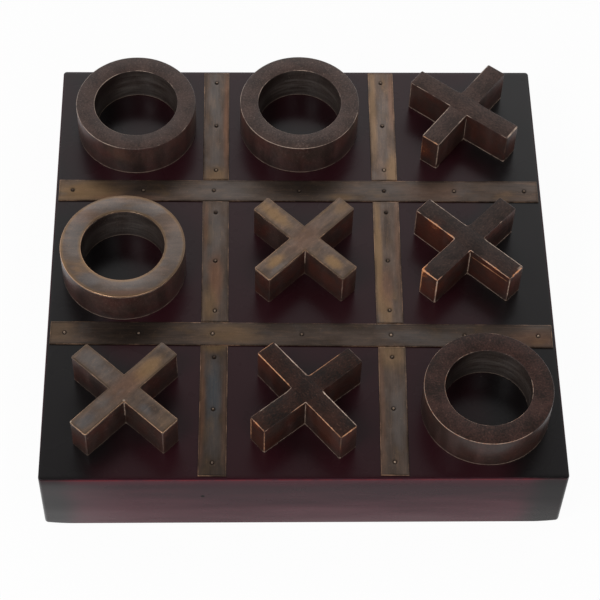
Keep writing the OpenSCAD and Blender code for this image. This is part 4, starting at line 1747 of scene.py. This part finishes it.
@dataclass
class PlayingPieces:
    """The four rings and five crosses, as they stand in the game."""

    TURNED = RubbedPaint(
        grain=(1, 1, 1), flank_tone=shade(72, 51, 48), sheen_strength=0.55, hem=0.45, redness=0.45, roughness=0.34
    )
    RING_METAL = BrownedMetal(brushed=(1, 1, 1), gilt=0.45, roughness=0.38)
    CROSS_METAL = BrownedMetal(brushed=(0.3, 0.3, 1), gilt=0.15, roughness=0.38)

    def build(self) -> None:
        """Makes every playing piece."""
        for piece in (*self._rings(), *self._painted_crosses(), *self._metal_crosses()):
            piece.build()

    def _rings(self) -> tuple[Ring, ...]:
        """The rings, each with how its maker and the players have left it.

        Returns:
            The four rings.
        """
        back_left = replace(self.TURNED, pale=1, flecks=0.16, depth=1.1)
        back_centre = replace(self.TURNED, pale=1, flecks=0.24, depth=1.15)
        front_right = replace(
            self.TURNED, pale=0.6, flecks=0.12, redness=0.25, depth=0.62, ior=1.3,
            cocoa=shade(86, 60, 54), flank_tone=shade(52, 35, 31)
        )
        middle_left = replace(self.TURNED, wear=Wear.LIGHT, pale=0.8)
        metal = replace(self.RING_METAL, lightness=1.36, stains=each(
            Stain,
            (GREY, -32, 10, 12, 26, 0.6), (GREY, 8, -34, 34, 14, 0.35), (COPPER, -30, 26, 16, 10, 0.15),
            (GREY, 38, -4, 10, 24, 0.35), (GREY, -16, 36, 22, 8, 0.5), (STEEL, -24, -30, 10, 8, 0.35),
            (COPPER, 4, -41, 26, 4, 0.35), (GREY, 14, 32, 24, 8, 0.55),
        ))
        return (
            Ring("o_back_left", 2.1, (-0.15, 0), back_left, chatter=1),
            Ring("o_back_centre", 4.6, (-0.1, -0.15), back_centre, chatter=1),
            Ring("o_front_right", 7.9, (-0.2, -0.1), front_right, chatter=0.8),
            Ring("o_middle_left", 9.4, (-0.3, -0.4), middle_left, metal),
        )

    def _painted_crosses(self) -> tuple[Cross, ...]:
        """The crosses with painted tops.

        Returns:
            The back right, middle right and front centre crosses.
        """
        back_right = RubbedPaint(pale=0.85, flecks=0.08, depth=1.1, ior=1.34, rubs=each(
            Rub,
            (-33, -33, 14, 11, 0.65), (31, -37, 14, 6, 0.4), (-7, -14, 20, 8, 0.3),
        ))
        middle_right = RubbedPaint(
            Wear.HEAVY, pale=0.55, flecks=0.1, redness=0.6, depth=0.6, ior=1.34,
            flank_tone=shade(70, 38, 30), rubs=each(
                Rub,
                (-25, 12, 11, 17, 0.45), (-22, 14, 25, 8, 0.65), (-12, 4, 26, 6, 0.6),
                (15, -26, 22, 12, 0.35), (-33, -33, 12, 13, 0.3), (-35, -26, 25, 9, 0.8),
                (-26, -35, 18, 9, 0.5), (31, -28, 30, 6, 0.6),
            )
        )
        front_centre = RubbedPaint(
            pale=0.6, flecks=0.1, redness=0.5, depth=0.32, hem=0.55, ior=1.3, cocoa=shade(96, 60, 48),
            flank_tone=shade(53, 30, 23), rubs=each(
                Rub,
                (-28, 22, 24, 16, 0.35), (14, -25, 18, 16, 0.3), (-33, -33, 10, 14, 0.3),
                (-35, -27, 26, 6, 0.5), (30, -35, 27, 5, 0.4),
            )
        )
        # The broad dark stretches at mid-height darken whole faces as painted shade; the broad russet ones
        # lighten whole faces, partly as painted light.
        return (
            Cross("x_back_right", 1.4, (-0.15, -0.3), back_right, arms={
                Arm.BACK_RIGHT: (
                    (SOOT, (6, -7.5, 13), (43, -7.5, 13), 12, 0.3),
                    (STRAW, (22, 7, 28.4), (43, 7, 28.4), 0.5, 0.45),
                    (STRAW, (43.2, 7, 28.2), (43.2, -7, 28.2), 0.5, 0.5),
                ),
                Arm.FRONT_RIGHT: (
                    (RUSSET, (12, -7.5, 13), (38, -7.5, 13), 11, 0.25),
                    (RUSSET, (43.5, -4, 16), (43.5, 6, 16), 10, 0.3),
                    (PAINT, (11, -7.5, 28.5), (39, -7.5, 28.5), 2.5, 1),
                    (STRAW, (43, -7, 28.2), (43, 7, 28.2), 0.75, 0.8),
                    (STRAW, (7.6, -7.5, 3), (7.6, -7.5, 25), 0.5, 0.5),
                ),
                Arm.FRONT_LEFT: (
                    (PAINT, (9, 7.5, 1), (40, 7.5, 1), 3, 1), (STRAW, (9, -7, 28.4), (43, -7, 28.4), 0.5, 1),
                    (STRAW, (10, 7.3, 28.2), (18, 7.3, 28.2), 0.6, 0.55),
                    (GLOW, (43.2, -7, 28.2), (43.2, 7, 28.2), 0.5, 0.65),
                    (STRAW, (43.2, 7.2, 28), (43.2, 7.2, 4), 0.55, 0.5),
                ),
                Arm.BACK_LEFT: ((STRAW, (42.6, 7.5, 28), (42.6, 7.5, 2), 0.5, 0.4),),
            }),
            Cross("x_middle_right", 3.7, (-0.3, -0.3), middle_right, arms={
                Arm.BACK_RIGHT: ((SOOT, (6, -7.5, 13), (43, -7.5, 13), 12, 0.6),),
                Arm.FRONT_RIGHT: (
                    (RUSSET, (10, -7.5, 13), (40, -7.5, 13), 11, 0.35),
                    (PAINT, (9, -7.5, 28.5), (19, -7.5, 28.5), 2.5, 0.8),
                    (GLOW, (9, -7.4, 22.2), (42, -7.4, 23.4), 0.5, 0.55),
                    (GLOW, (17.5, -7.4, 22.4), (28, -7.4, 22.9), 0.7, 0.75),
                    (GLOW, (20, -7.3, 28.2), (43, -7.3, 28.2), 0.5, 0.55),
                    (STRAW, (20.5, -7.3, 28.2), (27, -7.3, 28.2), 0.6, 0.3),
                    (STRAW, (8, 7, 28.4), (43, 7, 28.4), 0.55, 0.75),
                    (STRAW, (42.4, 2, 28.4), (42.4, 7, 28.4), 1.2, 0.65),
                    (STRAW, (43.2, -7.1, 28), (43.2, -7.1, 6), 0.5, 1),
                    (STRAW, (7.6, -7.5, 2), (7.6, -7.5, 26), 0.55, 1),
                ),
                Arm.FRONT_LEFT: (
                    (PAINT, (9, 7.5, 28.5), (39, 7.5, 28.5), 2.5, 1),
                    (PAINT, (9, 7.5, 1), (40, 7.5, 1), 3, 0.8),
                    (GLOW, (43.5, -6.6, 28), (43.5, -6.6, 2), 0.65, 1),
                    (GLOW, (43.2, -7, 28.2), (43.2, 7, 28.2), 0.55, 1),
                    (STRAW, (43.2, 7.2, 28), (43.2, 7.2, 1), 0.55, 1),
                ),
                Arm.BACK_LEFT: (
                    (STRAW, (8, -7, 28.4), (42, -7, 28.4), 0.5, 0.75),
                    (STRAW, (42.6, 7.5, 26), (42.6, 7.5, 3), 0.5, 0.35),
                ),
            }),
            Cross("x_front_centre", 5.2, (-0.25, -0.1), front_centre, arms={
                Arm.FRONT_RIGHT: (
                    (SOOT, (43.5, -6, 13), (43.5, 6, 13), 11, 0.5),
                    (STRAW, (8, 7, 28.4), (43, 7, 28.4), 0.6, 1),
                    (GLOW, (10, -7.3, 28.2), (43, -7.3, 28.2), 0.5, 0.5),
                    (GLOW, (43.2, -7, 28.2), (43.2, 7, 28.2), 0.55, 0.6),
                    (GLOW, (43.2, -7.2, 28), (43.2, -7.2, 12), 0.4, 0.1),
                    (STRAW, (7.6, -7.5, 2), (7.6, -7.5, 26), 0.55, 0.6),
                ),
                Arm.BACK_LEFT: (
                    (SOOT, (10, 7.5, 13), (40, 7.5, 13), 11, 0.25),
                    (GLOW, (43, 7.3, 28.2), (9, 7.3, 28.2), 0.55, 0.9),
                    (GLOW, (43.2, -7, 28.2), (43.2, 7, 28.2), 0.5, 1),
                    (STRAW, (42, -7, 28.4), (8, -7, 28.4), 0.6, 1),
                ),
                Arm.BACK_RIGHT: (
                    (PAINT, (9, -7.5, 28.5), (42, -7.5, 28.5), 2.5, 0.8),
                    (GLOW, (8, 7, 28.4), (36, 7, 28.4), 0.5, 0.55),
                    (STRAW, (43.2, 7, 28.2), (43.2, -7, 28.2), 0.5, 0.3),
                ),
                Arm.FRONT_LEFT: (
                    (PAINT, (19, 7.5, 28.5), (41, 7.5, 28.5), 2.5, 1),
                    (STRAW, (9, -7, 28.4), (36, -7, 28.4), 0.5, 0.55),
                    (GLOW, (9, 7.3, 28.2), (17, 7.3, 28.2), 0.6, 0.3),
                    (GLOW, (43.5, -6.6, 28), (43.5, -6.6, 2), 0.65, 1),
                    (GLOW, (43.2, -7, 28.2), (43.2, 7, 28.2), 0.5, 0.2),
                    (GLOW, (43.2, 7.2, 28), (43.2, 7.2, 1), 0.45, 0.2),
                ),
            }),
        )

    def _metal_crosses(self) -> tuple[Cross, ...]:
        """The crosses with metal tops.

        Returns:
            The centre and front left crosses.
        """
        centre = replace(self.CROSS_METAL, lightness=1.3, stains=each(
            Stain,
            (GOLDEN, 0, 30, 6, 18, 0.7), (GOLDEN, -29, 1, 9, 5, 0.75), (COPPER, 0, 0, 20, 10, 0.2),
            (GOLDEN, -1, -29, 5, 9, 0.75), (DARK, -16, -2, 7, 5, 0.2), (DARK, 0, -41, 6, 4, 0.25),
            (DARK, 17, -5, 10, 3, 0.3), (DARK, -41, 0, 4, 7, 0.3), (GOLDEN, 38, 0, 8, 6, 0.35),
        ))
        front_left = replace(self.CROSS_METAL, lightness=1.2, stains=each(
            Stain,
            (GOLDEN, 22, -1, 16, 7, 0.75), (COPPER, 2, 0, 18, 9, 0.3), (GREY, 0, 28, 7, 20, 0.5),
            (STEEL, -36, 1, 10, 5, 0.4), (DARK, 2, -25, 4, 7, 0.35), (STEEL, -2, -22, 4, 6, 0.35),
            # The two small near-white patches at corners of the sheet are painted glints.
            (GOLDEN, 0, -38, 6, 6, 0.2), (DARK, 38, 0, 5, 7, 0.3), (PALE, -43, 7, 1.3, 1, 0.9),
            (PALE, -7, -7, 1, 1, 0.8),
        ))
        centre_flanks = RubbedPaint(pale=0.7, redness=0.9, hem=0.15)
        front_left_flanks = RubbedPaint(
            pale=0.9, redness=0.6, sheen_strength=0.5, hem=0.2, flank_tone=shade(49, 28, 22)
        )
        # The broad dark stretches at mid-height darken whole faces as painted shade; the broad russet one
        # lightens a face, partly as painted light.
        return (
            Cross("x_centre", 6.8, (-0.2, -0.2), centre_flanks, centre, arms={
                Arm.FRONT_RIGHT: (
                    (RUSSET, (10, -7.5, 13), (40, -7.5, 13), 11, 0.6),
                    (STRAW, (7.6, -7.5, 12), (7.6, -7.5, 28), 0.55, 1),
                    (STRAW, (43.2, -7.2, 27), (43.2, -7.2, 4), 0.5, 0.25),
                ),
                Arm.FRONT_LEFT: ((STRAW, (43.2, -7, 1), (43.2, 7, 1), 0.6, 0.55),),
            }),
            Cross("x_front_left", 8.3, (0.1, -0.3), front_left_flanks, front_left, arms={
                Arm.FRONT_RIGHT: (
                    (SOOT, (43.5, -6, 13), (43.5, 6, 13), 11, 0.55),
                    (STRAW, (7.6, -7.5, 10), (7.6, -7.5, 28), 0.6, 0.65),
                    (STRAW, (43.2, -7.2, 27), (43.2, -7.2, 2), 0.4, 0.1),
                ),
                Arm.BACK_LEFT: ((SOOT, (8, 7.5, 13), (42, 7.5, 13), 11, 0.35),),
                Arm.BACK_RIGHT: ((STRAW, (42.6, -7.5, 26), (42.6, -7.5, 5), 0.5, 0.4),),
            }),
        )


@dataclass(frozen=True)
class Softbox:
    """A rectangular soft lamp that faces the board."""

    name: str
    azimuth: float
    elevation: float
    distance: float
    width: float
    height: float
    watts: float

    def hang(self, aim: Vector) -> None:
        """Hangs the lamp, turned towards the aim.

        Args:
            aim: the point that it faces.
        """
        lamp = bpy.data.lights.new(self.name, "AREA")
        lamp.shape = "RECTANGLE"
        lamp.size = self.width
        lamp.size_y = self.height
        lamp.energy = self.watts
        across, up = math.radians(self.azimuth), math.radians(self.elevation)
        away = Vector((math.sin(across) * math.cos(up), -math.cos(across) * math.cos(up), math.sin(up)))
        hung = bpy.data.objects.new(self.name, lamp)
        hung.location = aim + away * self.distance
        hung.rotation_euler = (-away).to_track_quat("-Z", "Y").to_euler()
        bpy.context.scene.collection.objects.link(hung)


@dataclass
class Camera:
    """The photograph's camera: where it stands from its aim in millimetres, its turn in degrees, its lens."""

    stand: tuple[float, float, float] = (-39.5, -839.4, 1189.8)
    pitch: float = 55.85
    yaw: float = -2.75
    roll: float = 2.2
    focal_px: float = 2031.5
    frame_px: float = 600.0
    sensor_mm: float = 36.0

    def set_up(self, aim: Vector) -> None:
        """Adds the camera and makes it the scene's own.

        Args:
            aim: the middle of the playing face.
        """
        data = bpy.data.cameras.new("photograph_view")
        data.sensor_width = self.sensor_mm
        data.lens = self.focal_px / self.frame_px * self.sensor_mm
        camera = bpy.data.objects.new("photograph_view", data)
        turn = Matrix.Rotation(math.radians(self.yaw), 4, "Z")
        tip = Matrix.Rotation(math.radians(90 - self.pitch), 4, "X")
        lean = Matrix.Rotation(math.radians(self.roll), 4, "Z")
        stand = Vector(self.stand) * MM + aim
        camera.matrix_world = Matrix.Translation(stand) @ turn @ tip @ lean
        bpy.context.scene.collection.objects.link(camera)
        bpy.context.scene.camera = camera


@dataclass
class Studio:
    """The pale floor, the white surroundings that darken overhead, the lamps and the camera."""

    floor_reach: float = 25.0
    floor_white: Colour = shade(247, 247, 247)
    glow_share: float = 0.96
    sweep: float = 0.25
    lamps: tuple[Softbox, ...] = (
        Softbox("key_softbox", azimuth=-42, elevation=52, distance=1.6, width=0.5, height=0.5, watts=7.5),
        Softbox("fill_softbox", azimuth=20, elevation=52, distance=1.6, width=0.45, height=0.45, watts=3.2),
    )
    fading: tuple[tuple[float, float], ...] = (
        (50, 1.0), (52, 0.55), (54, 0.38), (57, 0.22), (60, 0.12), (66, 0.03)
    )

    def build(self) -> None:
        """Sets everything up round the board."""
        self._floor()
        self._surroundings()
        face_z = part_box("top_panel")[1].z
        aim = Vector((0, 0, face_z))
        for lamp in self.lamps:
            lamp.hang(aim)
        Camera().set_up(aim)
        bpy.context.scene.view_settings.view_transform = "Standard"

    def _floor(self) -> None:
        """Lays the floor."""
        reach = self.floor_reach
        mesh = bpy.data.meshes.new("studio_floor")
        corners = [(x * reach, y * reach, 0) for x, y in ((-1, -1), (1, -1), (1, 1), (-1, 1))]
        mesh.from_pydata(corners, [], [(0, 1, 2, 3)])
        mesh.materials.append(self._paper())
        floor = bpy.data.objects.new("studio_floor", mesh)
        bpy.context.scene.collection.objects.link(floor)

    def _paper(self) -> bpy.types.Material:
        """Makes white paper that looks a little lighter than it lights, as a cut-out background does.

        Returns:
            The paper.
        """
        material, bench = new_finish("studio_paper")
        mottle = bench.clouds(bench.node("ShaderNodeTexCoord", out="Object"), 0.4, 2)
        tone = bench.blend(mottle * 0.1, self.floor_white, shade(240, 240, 240))
        matt = bench.node("ShaderNodeBsdfDiffuse", sockets={"Color": tone})
        glow = bench.node("ShaderNodeEmission", sockets={"Color": (1.0, 1.0, 1.0, 1.0), "Strength": 1.0})
        seen: Value | float = 0.0
        for kind in ("Camera", "Glossy", "Transmission"):
            seen = bench.node("ShaderNodeLightPath", out=f"Is {kind} Ray").most(seen)
        both = bench.node("ShaderNodeMixShader", sockets={0: seen * self.glow_share, 1: matt, 2: glow})
        bench.node("ShaderNodeOutputMaterial", sockets={"Surface": both})
        return material

    def _surroundings(self) -> None:
        """Makes the surroundings, white to half-way up behind the board, less far in front, dim overhead."""
        world = bpy.data.worlds.new("studio_surroundings")
        world.use_nodes = True
        bpy.context.scene.world = world
        bench = Bench(world.node_tree)
        _, back, up = bench.parts(bench.node("ShaderNodeTexCoord", out="Generated"))
        stops = []
        for degrees, level in self.fading:
            behind = math.sin(math.radians(degrees)) - self.sweep * math.cos(math.radians(degrees))
            stops.append((behind, (level, level, level, 1.0)))
        tone = bench.node("ShaderNodeValToRGB", {"stops": stops}, {0: up - self.sweep * back})
        light = bench.node("ShaderNodeBackground", sockets={"Color": tone, "Strength": 1.0})
        bench.node("ShaderNodeOutputWorld", sockets={"Surface": light})


def main() -> None:
    """Builds the board from the case outwards, then the studio."""
    logging.basicConfig(level=logging.INFO, format="%(name)s: %(message)s")
    for assembly in (Case.from_frame(), Underside(), StripGrid(), PlayingPieces(), Studio()):
        assembly.build()
        log.info("%s built", type(assembly).__name__)


if __name__ == "__main__":
    main()
